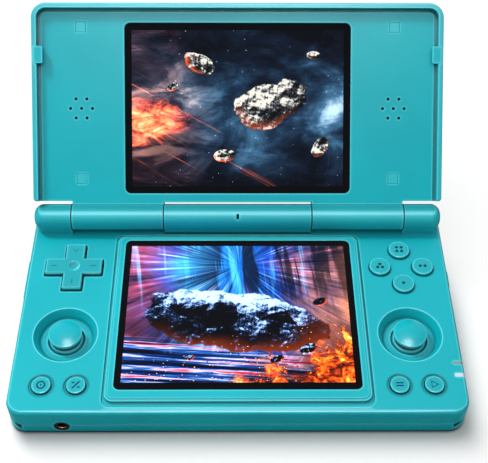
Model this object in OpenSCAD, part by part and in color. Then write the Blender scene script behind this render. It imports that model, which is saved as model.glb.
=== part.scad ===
// Clamshell handheld game console with two screens, open and lying on its underside.
// The origin is the centre of the underside. X points right, Y back towards the hinge, Z up.

/* [Base] */
// Width of the base across its side walls
base_w = 159; // [157:0.5:166]
// Depth of the base, from its front wall to the back of the hinge
base_d = 88.8; // [88:0.2:94]
// Height of the deck above the underside
base_h = 13; // [13:0.1:15]
// Height of the seam between the two shells
seam_h = 5.4; // [5.2:0.1:5.8]
// Thickness of the side walls
wall = 1.5; // [1.2:0.1:1.8]
// Thickness of the deck plate
deck_t = 1.6; // [1.4:0.1:1.8]
// Thickness of the bottom plate
floor_t = 1.3; // [1.1:0.1:1.4]
// Plan radius of the two front corners
front_corner_r = 6; // [5:0.5:8]
// Plan radius of the two rear corners
rear_corner_r = 4; // [3:0.5:5]
// Fillet along the top edge of the base
deck_edge_r = 1.6; // [0.8:0.1:1.8]
// Fillet along the bottom edge of the base
bottom_edge_r = 1.1; // [0.5:0.1:1.4]

/* [Lower screen] */
// Width of the control field beside the lower glass
column_w = 36.55; // [36:0.05:37]
// Distance from the front wall to the lower glass
low_glass_front = 8.7; // [8.3:0.1:9.5]
// Distance from the lower glass to the hinge axis
low_glass_back = 8.7; // [8.5:0.1:9.5]
// Thickness of both cover glasses
glass_t = 1.1; // [0.8:0.1:1.3]
// Corner radius of both cover glasses
glass_r = 2.2; // [1.5:0.1:3]
// How far each glass lies below its frame
glass_sink = 0.08; // [0:0.02:0.2]
// Distance from a glass's side to its picture panel
lcd_side = 1.15; // [1.1:0.05:2]
// Distance from a glass's front or back edge to its picture panel
lcd_edge = 1.5; // [1.1:0.1:2]
// Thickness of the picture panels
lcd_t = 2.2; // [1.6:0.1:2.4]
// Height of the raised frame above the deck
frame_rise = 1; // [0.6:0.1:1.2]
// Height of the frame's lower step above the deck
step_rise = 0.7; // [0.3:0.1:0.9]
// Width of the raised frame at its sides
frame_side = 2.2; // [1.6:0.1:2.4]
// Width of the raised frame behind the glass
frame_back = 1.6; // [1.2:0.1:2]
// Width of the raised frame in front of the glass
frame_front = 3.5; // [2.8:0.1:3.7]
// Width of the frame's lower step
step_w = 0.9; // [0.6:0.1:1]
// Width of the groove around the frame
moat_w = 0.9; // [0.6:0.1:1]
// Width of the groove in front of the frame
moat_front = 1.8; // [1.2:0.1:2]
// Depth of the groove around the frame
moat_depth = 0.5; // [0.2:0.1:0.8]
// Drop of the thumb scoop at the front edge
scoop_drop = 0.35; // [0.1:0.05:0.6]

/* [Hinge] */
// Radius of the hinge barrels
hinge_r = 5; // [4.6:0.1:5.2]
// Height of the hinge axis above the deck
axis_h = 5.1; // [5:0.1:5.6]
// How far an end cap stands in from the base's side
cap_inset = 0.8; // [0.5:0.1:2]
// Length of an end cap
cap_len = 14.5; // [13:0.1:16]
// Rounding of an end cap's outer end
cap_round = 3.6; // [2.5:0.1:4.4]
// Half the length of the centre barrel
centre_half = 28.4; // [26:0.1:31]
// Radius of the hinge pins
pin_r = 1.5; // [1.2:0.1:1.8]
// Length of the pins in each knuckle
pin_grip = 8; // [6:0.5:10]
// Gap between neighbouring barrels
knuckle_gap = 0.25; // [0.2:0.05:0.4]
// Angle of the lid above the flat-open position
lid_angle = 44.2; // [40:0.1:48]

/* [Lid] */
// How far the lid's sides stand in from the base's sides
lid_inset = 1; // [0.8:0.1:1.8]
// How far the closed lid's edge stands behind the front wall
lid_setback = 2.2; // [1.6:0.1:3]
// Distance from the hinge axis to the lid's back face
lid_back_h = 3.6; // [3.4:0.1:4]
// Gap between the rim and the deck when closed
close_gap = 0.2; // [0.15:0.05:0.4]
// Depth of the front panel below the rim
lid_recess = 2.95; // [2.8:0.05:3.1]
// Width of the rim
rim_w = 1.95; // [1.6:0.05:2.2]
// Width of the groove between the rim and the front panel
lid_groove = 1.1; // [0.8:0.1:1.2]
// Depth of that groove
lid_groove_depth = 0.6; // [0.3:0.1:0.8]
// Plan radius of the lid's far corners
lid_corner_r = 5.5; // [5:0.5:7]
// Plan radius of the lid's corners next to the hinge
lid_heel_r = 1.2; // [1.2:0.1:2.4]
// Fillet along the lid's rim
lid_edge_r = 0.6; // [0.3:0.1:0.8]
// Fillet along the lid's back
lid_back_r = 1.1; // [0.8:0.1:1.2]
// Distance from the hinge axis to the lid's near edge beside the end caps
lid_heel = 6.2; // [6:0.1:6.6]
// Distance from the hinge axis to the front panel's near edge over the knuckles
lid_lap = 4.8; // [4.7:0.05:5]
// Thickness of the lid's back plate
lid_floor_t = 1.2; // [1:0.1:1.3]
// Thickness of the lid's front panel
lid_panel_t = 2; // [1.9:0.1:2.1]
// Distance from the lid's side to the upper glass
up_glass_side = 35.2; // [35:0.1:36]
// Distance from the hinge axis to the upper glass
up_glass_near = 9.25; // [9:0.05:10]
// Distance from the upper glass to the lid's far edge
up_glass_far = 7.25; // [7:0.05:8]

/* [Lid fittings] */
// Distance from the lid's side to the speakers
speaker_side = 18.5; // [17:0.1:20]
// Distance between neighbouring speaker holes
speaker_pitch = 4.2; // [3.4:0.1:4.6]
// Radius of a speaker hole
speaker_hole_r = 0.6; // [0.4:0.05:0.8]
// Radius of a loudspeaker
speaker_r = 7; // [6.5:0.1:8]
// Distance from the lid's side to the square screw plugs
plug_side = 18.4; // [15:0.1:20]
// Place of the near plugs from the hinge axis
plug_near_s = 14.8; // [13:0.1:18]
// Distance from the lid's far edge to the far plugs
plug_far = 8.8; // [8:0.1:10]
// Side of a square plug
plug_w = 3.8; // [3.4:0.1:4.4]
// Thickness of a square plug
plug_t = 0.6; // [0.4:0.05:0.7]
// Length of a lid stop along the rim
stop_len = 6.5; // [5:0.1:8]
// Distance from the lid's far edge to the middle of a lid stop
stop_far = 19.6; // [16:0.1:30]
// Thickness of a lid stop
stop_t = 1.2; // [0.9:0.1:1.4]
// Distance from the lid's side to a stop's inner end
stop_reach = 4.3; // [3.8:0.1:4.6]
// How far a stop stands out of the rim
stop_proud = 0.12; // [0:0.02:0.14]

/* [Controls] */
// Distance from the base's side to the middle of the control groups
group_side = 17.5; // [17:0.1:18]
// Distance from the hinge axis to the cross pad and the face buttons
pad_back = 21.3; // [20.5:0.1:22]
// Distance from the front wall to the small buttons
small_front = 10.9; // [10.6:0.1:11.4]
// How far the thumb sticks stand in front of the middle between both
stick_shift = 4.5; // [4.2:0.1:5]
// Distance between two small buttons
small_pitch = 12; // [11.4:0.1:12.4]
// Distance from a group's middle to each face button
face_offset = 8.1; // [7.6:0.1:8.6]
// Diameter of a face button
face_d = 8; // [7:0.1:8.2]
// Diameter of a small button
small_d = 6.7; // [6:0.1:7]
// Diameter of the ring groove around a small button
small_ring_d = 8.6; // [8.2:0.1:9]
// Depth of the ring groove around a small button
small_ring_depth = 0.3; // [0.1:0.05:0.5]
// Height of a face button above the deck
face_proud = 1.3; // [0.8:0.1:1.6]
// Height of a small button above the deck
small_proud = 0.6; // [0.3:0.1:1]
// Gap around every button in its hole
button_gap = 0.25; // [0.15:0.05:0.35]
// Width of a button's flange beyond its cap
flange_w = 0.75; // [0.5:0.05:0.9]
// Thickness of a button's flange
flange_t = 0.9; // [0.7:0.1:1]
// Travel of a face or small button
press = 1; // [0.7:0.05:1.1]
// Length of a button's foot below its flange
foot_len = 1.1; // [0.9:0.1:1.2]
// Fillet around a button's top
button_edge_r = 0.35; // [0.2:0.05:0.5]

/* [Cross pad] */
// Length of the cross pad from tip to tip
cross_len = 21.2; // [20:0.1:22]
// Width of an arm of the cross pad
cross_arm = 7.2; // [6.6:0.1:7.6]
// Height of the cross pad above the deck
cross_proud = 1.5; // [1:0.1:1.7]
// Radius of the dimple in the cross pad
dimple_r = 2.4; // [2:0.1:3]
// Depth of the dimple in the cross pad
dimple_depth = 0.45; // [0.2:0.05:0.6]
// Gap around the cross pad in its hole
cross_gap = 0.5; // [0.45:0.05:0.6]
// Radius of the pivot ball below the cross pad
ball_r = 1.6; // [1.4:0.1:1.7]
// Rounding of the cross pad's corners
cross_r = 0.7; // [0.4:0.1:1]

/* [Thumb sticks] */
// Radius of the stick's cap
cap_r = 6; // [5.4:0.1:6.4]
// Height of the cap's rim above the deck
cap_rim_h = 0.7; // [0.5:0.1:0.8]
// Height of the cap's dome above its rim
cap_dome = 1.5; // [1:0.1:1.6]
// Height of the cap's side
cap_side = 1; // [0.8:0.1:1.1]
// Radius of the stick's round skirt
skirt_r = 7; // [6.8:0.05:7.2]
// Thickness of the skirt
skirt_t = 0.7; // [0.5:0.05:0.8]
// Radius of the well at the deck
well_r = 11.5; // [11:0.1:11.8]
// Radius of the well at its floor
well_floor_r = 9.3; // [9:0.1:9.8]
// Depth of the well
well_depth = 3.6; // [3.5:0.05:3.8]
// Height of the stick's pivot above the bottom plate
pivot_rise = 4.7; // [4.6:0.05:4.8]
// Distance that the stick clicks down
click = 0.4; // [0.2:0.05:0.4]

/* [Side and rear fittings] */
// Distance from the deck plate to the middle of the shoulder buttons
shoulder_drop = 2.7; // [2.6:0.1:2.9]
// Height of a shoulder button's face
shoulder_face_h = 4.2; // [3.6:0.1:4.4]
// Width of an outer shoulder button
shoulder_outer_w = 14; // [12:0.5:15]
// Width of an inner shoulder button
shoulder_inner_w = 12; // [10:0.5:13]
// Distance from the base's side to the middle of an outer shoulder button
shoulder_side = 14.5; // [14:0.1:15]
// Distance between two neighbouring shoulder buttons
shoulder_pitch = 15.2; // [15:0.1:16]
// How far a shoulder button stands out of the rear wall
shoulder_proud = 1.2; // [1.1:0.1:1.5]
// Travel of a shoulder button
shoulder_press = 1; // [0.7:0.05:1]
// Distance from the hinge axis to the volume rocker and the power button
side_back = 24.4; // [22:0.1:26]
// Distance from the deck plate to the middle of both side keys
side_drop = 2.4; // [2.2:0.1:2.6]
// Length of the volume rocker
rocker_len = 18; // [14:0.5:20]
// Length of the power button
power_len = 8; // [6:0.5:10]
// Height of both side keys
side_key_h = 2.4; // [2:0.1:2.6]
// How far both side keys stand out
side_proud = 0.6; // [0.55:0.05:0.8]
// Travel of the power button
power_press = 0.5; // [0.3:0.05:0.5]
// How far the headphone socket stands inwards of the left controls' middle
jack_shift = 1.2; // [0.8:0.1:1.6]
// Height of the headphone socket above the underside
jack_z = 4.3; // [4.2:0.1:4.5]
// Radius of the headphone socket's bore
jack_bore_r = 1.8; // [1.75:0.01:1.85]
// Depth of the headphone socket's bore
jack_bore_len = 12.5; // [11:0.5:13]
// Radius of the headphone socket's nose
jack_nose_r = 2.7; // [2.5:0.1:2.8]
// Width of the charging socket
usb_w = 8.9; // [8.6:0.1:9.2]
// Height of the charging socket
usb_h = 3.2; // [3:0.1:3.3]
// Sideways place of the card socket
card_x = 24; // [20:0.5:27]
// Width of a memory card's slot
card_w = 11.4; // [11.2:0.1:12]
// Height of a memory card's slot
card_h = 1; // [0.8:0.1:1.2]
// Distance from the front wall to the front light bar
led_front = 15; // [14:0.1:16]
// Distance between the two light bars
led_pitch = 5; // [4:0.1:6]
// Width of the rear light bar
led_back_w = 1.1; // [0.8:0.1:1.4]
// Width of the front light bar
led_front_w = 1.5; // [1:0.1:1.8]
// Length of both light bars on the deck
led_len = 3.8; // [3:0.1:4.4]
// Height of the strap slots
strap_h = 3; // [2.4:0.1:3.2]
// Depth of the strap slots below the corner's surface
strap_depth = 4.1; // [3.6:0.1:4.4]
// Radius of the post that the strap goes round
strap_post_r = 0.9; // [0.8:0.1:1]
// Depth of the post's middle below the corner's surface
strap_post_in = 2.1; // [2:0.1:2.4]
// Distance from the start of a strap slot to its corner's centre
strap_start = 1.1; // [0.6:0.1:1.6]
// Depth of the groove that runs round the seam
seam_groove_in = 0.3; // [0.2:0.05:0.4]
// Height of that groove
seam_groove_t = 0.35; // [0.2:0.05:0.5]

/* [Inside] */
// Depth of the circuit board's top below the deck
board_depth = 6.6; // [6.4:0.05:6.7]
// Thickness of the circuit board
board_t = 1; // [0.8:0.1:1.1]
// Thickness of the rubber sheets
rubber_t = 0.6; // [0.4:0.1:0.8]
// Width of the battery
battery_w = 60; // [50:1:66]
// Depth of the battery
battery_d = 48; // [40:1:52]
// Gap between the battery and the circuit board
battery_gap = 0.5; // [0.3:0.1:1]
// Distance from a foot's middle to the base's side
foot_side = 9.5; // [8:0.5:12]
// Distance from a front foot's middle to the front wall
foot_front = 13.4; // [12:0.2:16]
// Distance from a rear foot's middle to the rear wall
foot_back = 8.4; // [7:0.2:12]
// Radius of a case screw's shaft
screw_r = 1; // [0.8:0.05:1.1]
// Radius of a case screw's head
screw_head_r = 1.9; // [1.6:0.1:2]
// Radius of a rubber foot
foot_r = 4; // [3:0.1:5]
// Thickness of a rubber foot
foot_pad_t = 0.7; // [0.4:0.05:0.8]

/* [Hidden] */
$fn = 64;

// Colours
teal = [0.22, 0.75, 0.8];
teal_dark = [0.16, 0.6, 0.66];
black = [0.03, 0.03, 0.04];
rubber_grey = [0.25, 0.26, 0.28];
steel = [0.7, 0.71, 0.73];
board_green = [0.1, 0.35, 0.2];

// Small values shared by many pieces
eps = 0.01;
hull_fn = 48;
fillet_steps = 4;
slide_gap = 0.05;
run_gap = 0.05;
seat_gap = 0.1;
soft_gap = 0.2;

// Levels and outlines of the base
front_y = -base_d / 2;
rear_y = base_d / 2;
side_x = base_w / 2;
deck_under = base_h - deck_t;
axis_y = rear_y - hinge_r;
axis_z = base_h + axis_h;
board_top = base_h - board_depth;
board_bottom = board_top - board_t;
frame_z = base_h + frame_rise;
in_x = side_x - wall;
in_front = front_y + wall;
in_rear = rear_y - wall;
cap_end_x = side_x - cap_inset;
group_x = side_x - group_side;
pad_y = axis_y - pad_back;
small_y = front_y + small_front;
stick_y = (pad_y + small_y) / 2 - stick_shift;
shoulder_outer_x = side_x - shoulder_side;
shoulder_inner_x = shoulder_outer_x - shoulder_pitch;
side_y = axis_y - side_back;
side_z = deck_under - side_drop;
shoulder_z = deck_under - shoulder_drop;
foot_spots = [[side_x - foot_side, front_y + foot_front], [side_x - foot_side, rear_y - foot_back]];
jack_x = -group_x + jack_shift;
led_front_y = front_y + led_front;
led_back_y = led_front_y + led_pitch;

// Outlines of the frame around the lower screen: glass, frame, step and groove
glass_front = front_y + low_glass_front;
glass_back = axis_y - low_glass_back;
low_glass_w = base_w - 2 * column_w;
low_glass_d = glass_back - glass_front;
low_glass_y = (glass_front + glass_back) / 2;
low_lcd_w = low_glass_w - 2 * lcd_side;
low_lcd_d = low_glass_d - 2 * lcd_edge;
frame_x = low_glass_w / 2 + frame_side;
step_x = frame_x + step_w;
moat_x = step_x + moat_w;
frame_y0 = glass_front - frame_front;
frame_y1 = glass_back + frame_back;
step_y0 = frame_y0 - step_w;
step_y1 = frame_y1 + step_w;
moat_y0 = step_y0 - moat_front;
moat_y1 = step_y1 + moat_w;
frame_r = 3;

// Buttons: levels shared by the caps, their flanges and the rubber below
flange_top = deck_under - slide_gap;
foot_z = flange_top - flange_t - foot_len;
dome_top = foot_z - press - soft_gap;
rubber_top = board_top + rubber_t;

// Cross pad
ball_z = rubber_top + seat_gap + ball_r;
cross_flange_r = cross_len / 2 + 1.2;
cross_lift = 1.15;
cross_dome_at = cross_len / 2 - 3.1;
cross_flange_top = deck_under - cross_lift;

// Thumb stick
pivot_z = floor_t + pivot_rise;
well_floor_z = base_h - well_depth;
well_floor_t = 1.2;
well_wall = 1;
socket_gap = 0.45;
skirt_polar = 82;
yoke_half = 1.6;
leg_in = 1.6;
leg_out = 2.9;
leg_half = 1.3;
joint_r = 0.8;
ear_in = 2.5;
ear_out = 3.6;
plate_top = pivot_z - 2.3;
plate_t = 0.7;
click_gap = 0.05;
carriage_foot = 0.15;
housing_top = plate_top - plate_t - carriage_foot - click - click_gap;
housing_t = 0.8;
housing_half = 8;
post_w = 2;

// Case screws: places in the right half, mirrored to the left
screw_in = 12.4;
screw_wall = 3.4;
screw_front = [group_x - screw_in, small_y - 1.4 * screw_wall];
screw_side = [in_x - screw_wall, (pad_y + stick_y) / 2];
screw_back = [group_x - screw_in, axis_y - 1.6 * screw_wall];
screw_spots = [screw_front, screw_side, screw_back];
screw_head_t = 1.4;
screw_sink = 0.8;
lower_boss_r = screw_head_r + 1.3;
upper_boss_r = screw_r + 1.6;
screw_top = deck_under - 1.6;
board_half = low_glass_w / 2 + 4;
wing_x = in_x - 5;
wing_front = small_y - 3.5;
wing_back = small_y + 5.5;
pad_wing_half = cross_len / 2 + 3;
post_r = 2;
post_in = 3.5 * post_r;
board_posts = [[board_half - post_in, axis_y - post_in], [board_half - post_in, wing_back + post_r],
    [group_x + post_in, pad_y + post_in], [group_x - post_in, pad_y - post_in]];

// Lid: s runs from the hinge axis to the far edge, h towards the deck when closed
rim_h = axis_h - close_gap;
panel_h = rim_h - lid_recess;
panel_under = panel_h - lid_panel_t;
lid_w = base_w - 2 * lid_inset;
lid_len = axis_y - front_y - lid_setback;
lid_x = lid_w / 2;
up_glass_w = lid_w - 2 * up_glass_side;
up_glass_d = lid_len - up_glass_near - up_glass_far;
up_glass_s = up_glass_near + up_glass_d / 2;
up_lcd_w = up_glass_w - 2 * lcd_side;
up_lcd_d = up_glass_d - 2 * lcd_edge;
speaker_x = lid_x - speaker_side;
speaker_s = up_glass_s;
plug_x = lid_x - plug_side;
plug_far_s = lid_len - plug_far;
stop_s = lid_len - stop_far;
stop_in_x = lid_x - stop_reach;
cavity_x = lid_x - rim_w;
cavity_s = lid_len - rim_w;
panel_x = cavity_x - lid_groove;
panel_s = cavity_s - lid_groove;
ledge_h = panel_h - lid_groove_depth;
lid_floor_h = -lid_back_h + lid_floor_t;
knuckle_in = centre_half + knuckle_gap;
knuckle_out = cap_end_x - cap_len - knuckle_gap;
centre_heel = lid_heel - 0.5;
lid_screw_r = 0.8;
lid_screw_head_r = 1.6;
lid_screw_head_t = 0.9;

// A quarter-round at a profile's corner, from one angle to another
function arc(x, y, r, a0, a1) =
    [for (i = [0 : fillet_steps]) let (a = a0 + (a1 - a0) * i / fillet_steps)
        [x + r * cos(a), y + r * sin(a)]];

// A round disc with fillets below and above, the corner of a rounded slab
module puck(r, h, r_low, r_high) {
    rotate_extrude($fn = hull_fn)
        polygon(concat([[0, 0]], arc(r - r_low, r_low, r_low, -90, 0),
            arc(r - r_high, h - r_high, r_high, 0, 90), [[0, h]]));
}

// A slab with rounded corners and edges, wide in X, from y0 to y1 and from z0 to z1
module rounded_slab(w, y0, y1, z0, z1, r0, r1, r_low, r_high) {
    hull()
        for (side = [-1, 1]) {
            translate([side * (w / 2 - r0), y0 + r0, z0]) puck(r0, z1 - z0, r_low, r_high);
            translate([side * (w / 2 - r1), y1 - r1, z0]) puck(r1, z1 - z0, r_low, r_high);
        }
}

// A flat plate with round corners, made of exact planes and cylinders
module plate(x0, x1, y0, y1, z0, z1, r) {
    translate([x0 + r, y0, z0]) cube([x1 - x0 - 2 * r, y1 - y0, z1 - z0]);
    translate([x0, y0 + r, z0]) cube([x1 - x0, y1 - y0 - 2 * r, z1 - z0]);
    for (x = [x0 + r, x1 - r])
        for (y = [y0 + r, y1 - r])
            translate([x, y, z0]) cylinder(r = r, h = z1 - z0);
}

// A block between two corners
module block(x0, x1, y0, y1, z0, z1) {
    translate([x0, y0, z0]) cube([x1 - x0, y1 - y0, z1 - z0]);
}

// A cylinder along X or Y, from one place to another
module rod_x(r, x0, x1) {
    translate([x0, 0, 0]) rotate([0, 90, 0]) cylinder(r = r, h = x1 - x0);
}
module rod_y(r, y0, y1) {
    translate([0, y1, 0]) rotate([90, 0, 0]) cylinder(r = r, h = y1 - y0);
}

// Both places of something that the two halves share
module both_sides() {
    children();
    mirror([1, 0, 0]) children();
}

// Outer form of the closed base, without the hinge
module base_form() {
    rounded_slab(base_w, front_y, rear_y, 0, base_h, front_corner_r, rear_corner_r,
        bottom_edge_r, deck_edge_r);
}

// The plan of the base, set in from its outer face
module base_plan(inset, z0, z1) {
    x = side_x - inset;
    front = front_y + inset;
    rear = rear_y - inset;
    front_r = front_corner_r - inset;
    rear_r = rear_corner_r - inset;
    block(-x, x, front + front_r, rear - rear_r, z0, z1);
    block(front_r - x, x - front_r, front, front + front_r + eps, z0, z1);
    block(rear_r - x, x - rear_r, rear - rear_r - eps, rear, z0, z1);
    both_sides() {
        translate([x - front_r, front + front_r, z0]) cylinder(r = front_r, h = z1 - z0);
        translate([x - rear_r, rear - rear_r, z0]) cylinder(r = rear_r, h = z1 - z0);
    }
}

// The groove round the seam, cut in the lower shell's edge
module seam_groove() {
    difference() {
        block(-base_w, base_w, -base_d, base_d, seam_h - seam_groove_t, seam_h + 1);
        base_plan(seam_groove_in, 0, base_h);
    }
}

// The inner space of the base
module base_space(z0, z1) {
    plate(-in_x, in_x, in_front, in_rear, z0, z1, rear_corner_r - wall);
}

// A cross in plan, with round corners, from z0 to z1
module cross_form(length, arm, r, z0, z1) {
    plate(-length / 2, length / 2, -arm / 2, arm / 2, z0, z1, r);
    plate(-arm / 2, arm / 2, -length / 2, length / 2, z0, z1, r);
}

// Places of the four face buttons and the four small buttons
face_spots = [[0, 1], [-1, 0], [1, 0], [0, -1]];
function face_at(i) =
    [group_x + face_spots[i][0] * face_offset, pad_y + face_spots[i][1] * face_offset];
small_signs = [[-1, -1], [-1, 1], [1, -1], [1, 1]];
function small_at(i) =
    [small_signs[i][0] * group_x + small_signs[i][1] * small_pitch / 2, small_y];

// The strap slot in a front corner: a curved channel behind a small post
module strap_slot() {
    corner = [side_x - front_corner_r, front_y + front_corner_r];
    slot_in = front_corner_r - strap_depth;
    post_at = front_corner_r - strap_post_in;
    translate([corner[0], corner[1], seam_h - strap_h])
        difference() {
            intersection() {
                cylinder(r = front_corner_r + 1, h = strap_h + eps);
                translate([strap_start, -front_corner_r - 2, 0])
                    cube([front_corner_r + 2, front_corner_r + 2 - strap_start / 2, strap_h + 1]);
            }
            translate([0, 0, -eps]) cylinder(r = slot_in, h = strap_h + 1);
            rotate([0, 0, -45]) translate([post_at, 0, -eps]) cylinder(r = strap_post_r, h = strap_h + 1);
        }
}

// Deck, side walls, screen frame, stick wells and the bosses below the deck
module upper_shell() {
    color(teal)
    difference() {
        union() {
            difference() {
                base_form();
                translate([-base_w, -base_d, -1]) cube([2 * base_w, 2 * base_d, seam_h + 1]);
                base_space(seam_h - 1, deck_under);
                // groove around the screen frame and the thumb scoop in front of it
                plate(-moat_x, moat_x, moat_y0, moat_y1, base_h - moat_depth, base_h + 1, frame_r);
                translate([-moat_x, moat_y0, base_h])
                    rotate([atan(scoop_drop / (moat_y0 - front_y)), 0, 0])
                        translate([0, -base_d / 4, 0]) cube([2 * moat_x, base_d / 4, 2]);
            }
            plate(-step_x, step_x, step_y0, step_y1, deck_under, base_h + step_rise, frame_r);
            plate(-frame_x, frame_x, frame_y0, frame_y1, deck_under, frame_z, frame_r - step_w);
            both_sides() {
                for (p = screw_spots)
                    translate([p[0], p[1], seam_h]) cylinder(r = upper_boss_r, h = deck_under - seam_h + eps);
                translate([group_x, stick_y, 0]) stick_cup();
            }
            // peg that the volume rocker turns on
            translate([rocker_pivot_x, side_y, side_z - side_key_h / 2 - 0.4])
                cylinder(r = rocker_peg_r, h = deck_under - side_z + side_key_h / 2 + 0.4 + eps);
        }
        // seat of the lower glass, and the way through for its picture panel
        plate(-low_glass_w / 2 - seat_gap, low_glass_w / 2 + seat_gap, glass_front - seat_gap,
            glass_back + seat_gap, frame_z - glass_sink - glass_t, frame_z + 1, glass_r);
        block(-low_lcd_w / 2 - seat_gap, low_lcd_w / 2 + seat_gap, low_glass_y - low_lcd_d / 2 - seat_gap,
            low_glass_y + low_lcd_d / 2 + seat_gap, 0, frame_z);
        both_sides() {
            for (p = screw_spots)
                translate([p[0], p[1], seam_h - 1]) cylinder(r = screw_r + run_gap, h = screw_top - seam_h + 1.5);
            translate([group_x, stick_y, 0]) stick_hole();
            for (b = [[shoulder_outer_x, shoulder_outer_w], [shoulder_inner_x, shoulder_inner_w]])
                shoulder_block(b[0], b[1] + 2 * button_gap, shoulder_face_h + 2 * button_gap,
                    in_rear - 1, rear_y + 1);
            // trough below the lid's barrels
            translate([0, axis_y, axis_z]) rod_x(hinge_r + 0.4, knuckle_in - knuckle_gap, knuckle_out + knuckle_gap);
        }
        for (i = [0 : 3]) {
            translate([face_at(i)[0], face_at(i)[1], deck_under - 1]) cylinder(r = face_d / 2 + button_gap, h = 4);
            translate([small_at(i)[0], small_at(i)[1], deck_under - 1]) cylinder(r = small_d / 2 + button_gap, h = 4);
            translate([small_at(i)[0], small_at(i)[1], base_h - small_ring_depth]) cylinder(r = small_ring_d / 2, h = 4);
        }
        translate([-group_x, pad_y, 0])
            cross_form(cross_len + 2 * cross_gap, cross_arm + 2 * cross_gap, cross_r, deck_under - 1, base_h + 3);
        led_cut(led_back_y, led_back_w);
        led_cut(led_front_y, led_front_w);
        side_key_hole(-1, rocker_len);
        side_key_hole(1, power_len);
        translate([jack_x, 0, jack_z]) rod_y(jack_nose_r + seat_gap, front_y - 1, in_front + 1);
        usb_form(usb_w + 2 * seat_gap, usb_h + 2 * seat_gap, in_rear - 1, rear_y + 1);
        block(card_x - card_w / 2 - 0.3, card_x + card_w / 2 + 0.3, in_rear - 1, rear_y + 1,
            card_z - card_h / 2 - 0.2, card_z + card_h / 2 + 0.2);
        block(ribbon_x0 - 0.5, ribbon_x1 + 0.5, axis_y - 0.6, axis_y + 0.6, deck_under - 1, base_h + 1);
    }
}

// Bottom plate and lower walls, with screw bosses, board posts and strap slots
module lower_shell() {
    color(teal_dark)
    difference() {
        union() {
            difference() {
                base_form();
                translate([-base_w, -base_d, seam_h]) cube([2 * base_w, 2 * base_d, base_h]);
                base_space(floor_t, seam_h + 1);
            }
            both_sides() {
                for (p = screw_spots)
                    translate([p[0], p[1], floor_t - eps]) cylinder(r = lower_boss_r, h = seam_h - floor_t + eps);
                for (p = board_posts)
                    translate([p[0], p[1], floor_t - eps]) cylinder(r = post_r, h = board_bottom - floor_t + eps);
                // block that holds the strap slot's inner wall
                translate([side_x - front_corner_r, front_y + front_corner_r, floor_t - eps])
                    cylinder(r = front_corner_r - wall + 0.2, h = seam_h - floor_t + eps);
            }
        }
        both_sides() {
            for (p = screw_spots) {
                translate([p[0], p[1], -1]) cylinder(r = screw_r + 0.2, h = seam_h + 2);
                translate([p[0], p[1], -1]) cylinder(r = screw_head_r + 0.2, h = 1 + screw_sink + screw_head_t);
            }
            for (p = foot_spots)
                translate([p[0], p[1], -1]) cylinder(r = foot_r + seat_gap, h = 1 + foot_pad_t);
            strap_slot();
        }
        seam_groove();
        translate([jack_x, 0, jack_z]) rod_y(jack_nose_r + seat_gap, front_y - 1, in_front + 1);
    }
}

// The well of a thumb stick below the deck
module stick_cup() {
    floor_under = well_floor_z - well_floor_t;
    translate([0, 0, floor_under])
        cylinder(r1 = well_floor_r + well_wall, r2 = well_r + well_wall, h = base_h - floor_under - deck_t / 2);
}
module stick_hole() {
    translate([0, 0, well_floor_z]) cylinder(r1 = well_floor_r, r2 = well_r, h = well_depth + eps);
    translate([0, 0, base_h]) cylinder(r = well_r, h = 2);
    translate([0, 0, pivot_z]) sphere(r = skirt_r + socket_gap);
}

// End cap of the hinge: a barrel with a round end on a block that meets the deck
module hinge_cap() {
    in_end = cap_end_x - cap_len;
    color(teal)
    difference() {
        union() {
            translate([in_end, axis_y, axis_z]) rotate([0, 90, 0]) rotate_extrude() {
                square([hinge_r, cap_len - cap_round]);
                square([hinge_r - cap_round, cap_len]);
                translate([hinge_r - cap_round, cap_len - cap_round]) intersection() {
                    circle(r = cap_round);
                    square(cap_round + 1);
                }
            }
            plate(in_end, cap_end_x - 1.2, axis_y - hinge_r + 0.6, rear_y, base_h, axis_z, 2);
            block(in_end, in_end + 3, axis_y - hinge_r + 0.6, rear_y, base_h, axis_z);
        }
        translate([0, axis_y, axis_z]) rod_x(pin_r, in_end - 1, in_end + pin_grip);
    }
}
module hinge_cap_left() { mirror([1, 0, 0]) hinge_cap(); }
module hinge_cap_right() { hinge_cap(); }

// Centre barrel, hollow for the rolled ribbon, with a slot for the microphone
mic_angle = 50;
roll_bore_r = hinge_r - 1.8;
mic_r = 1.4;
ribbon_x0 = -20;
ribbon_x1 = -8;
module hinge_centre() {
    color(teal)
    difference() {
        union() {
            translate([0, axis_y, axis_z]) rod_x(hinge_r, -centre_half, centre_half);
            block(-centre_half, centre_half, axis_y - hinge_r + 0.6, rear_y, base_h, axis_z);
        }
        translate([0, axis_y, axis_z]) rod_x(roll_bore_r, -centre_half - 1, centre_half + 1);
        translate([0, axis_y, axis_z]) rotate([-mic_angle, 0, 0]) {
            rod_y(mic_r + seat_gap, -hinge_r + 0.7, 0);
            block(-0.45, 0.45, -hinge_r - 1, 0, -0.95, 0.95);
        }
        block(ribbon_x0 - 0.5, ribbon_x1 + 0.5, axis_y - 0.6, axis_y + 0.6, base_h - 1, axis_z);
    }
}
module microphone() {
    color(steel)
    translate([0, axis_y, axis_z]) rotate([-mic_angle, 0, 0])
        rod_y(mic_r, -hinge_r + 0.7 + slide_gap, -hinge_r + 0.7 + slide_gap + 1.3);
}
module ribbon_roll() {
    roll_r = roll_bore_r - 1;
    color([0.75, 0.5, 0.2]) {
        translate([0, axis_y, axis_z]) rod_x(roll_r, ribbon_x0 - 4, -ribbon_x0 + 4);
        block(ribbon_x0, ribbon_x1, axis_y - 0.15, axis_y + 0.15, board_top, axis_z);
    }
}

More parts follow.
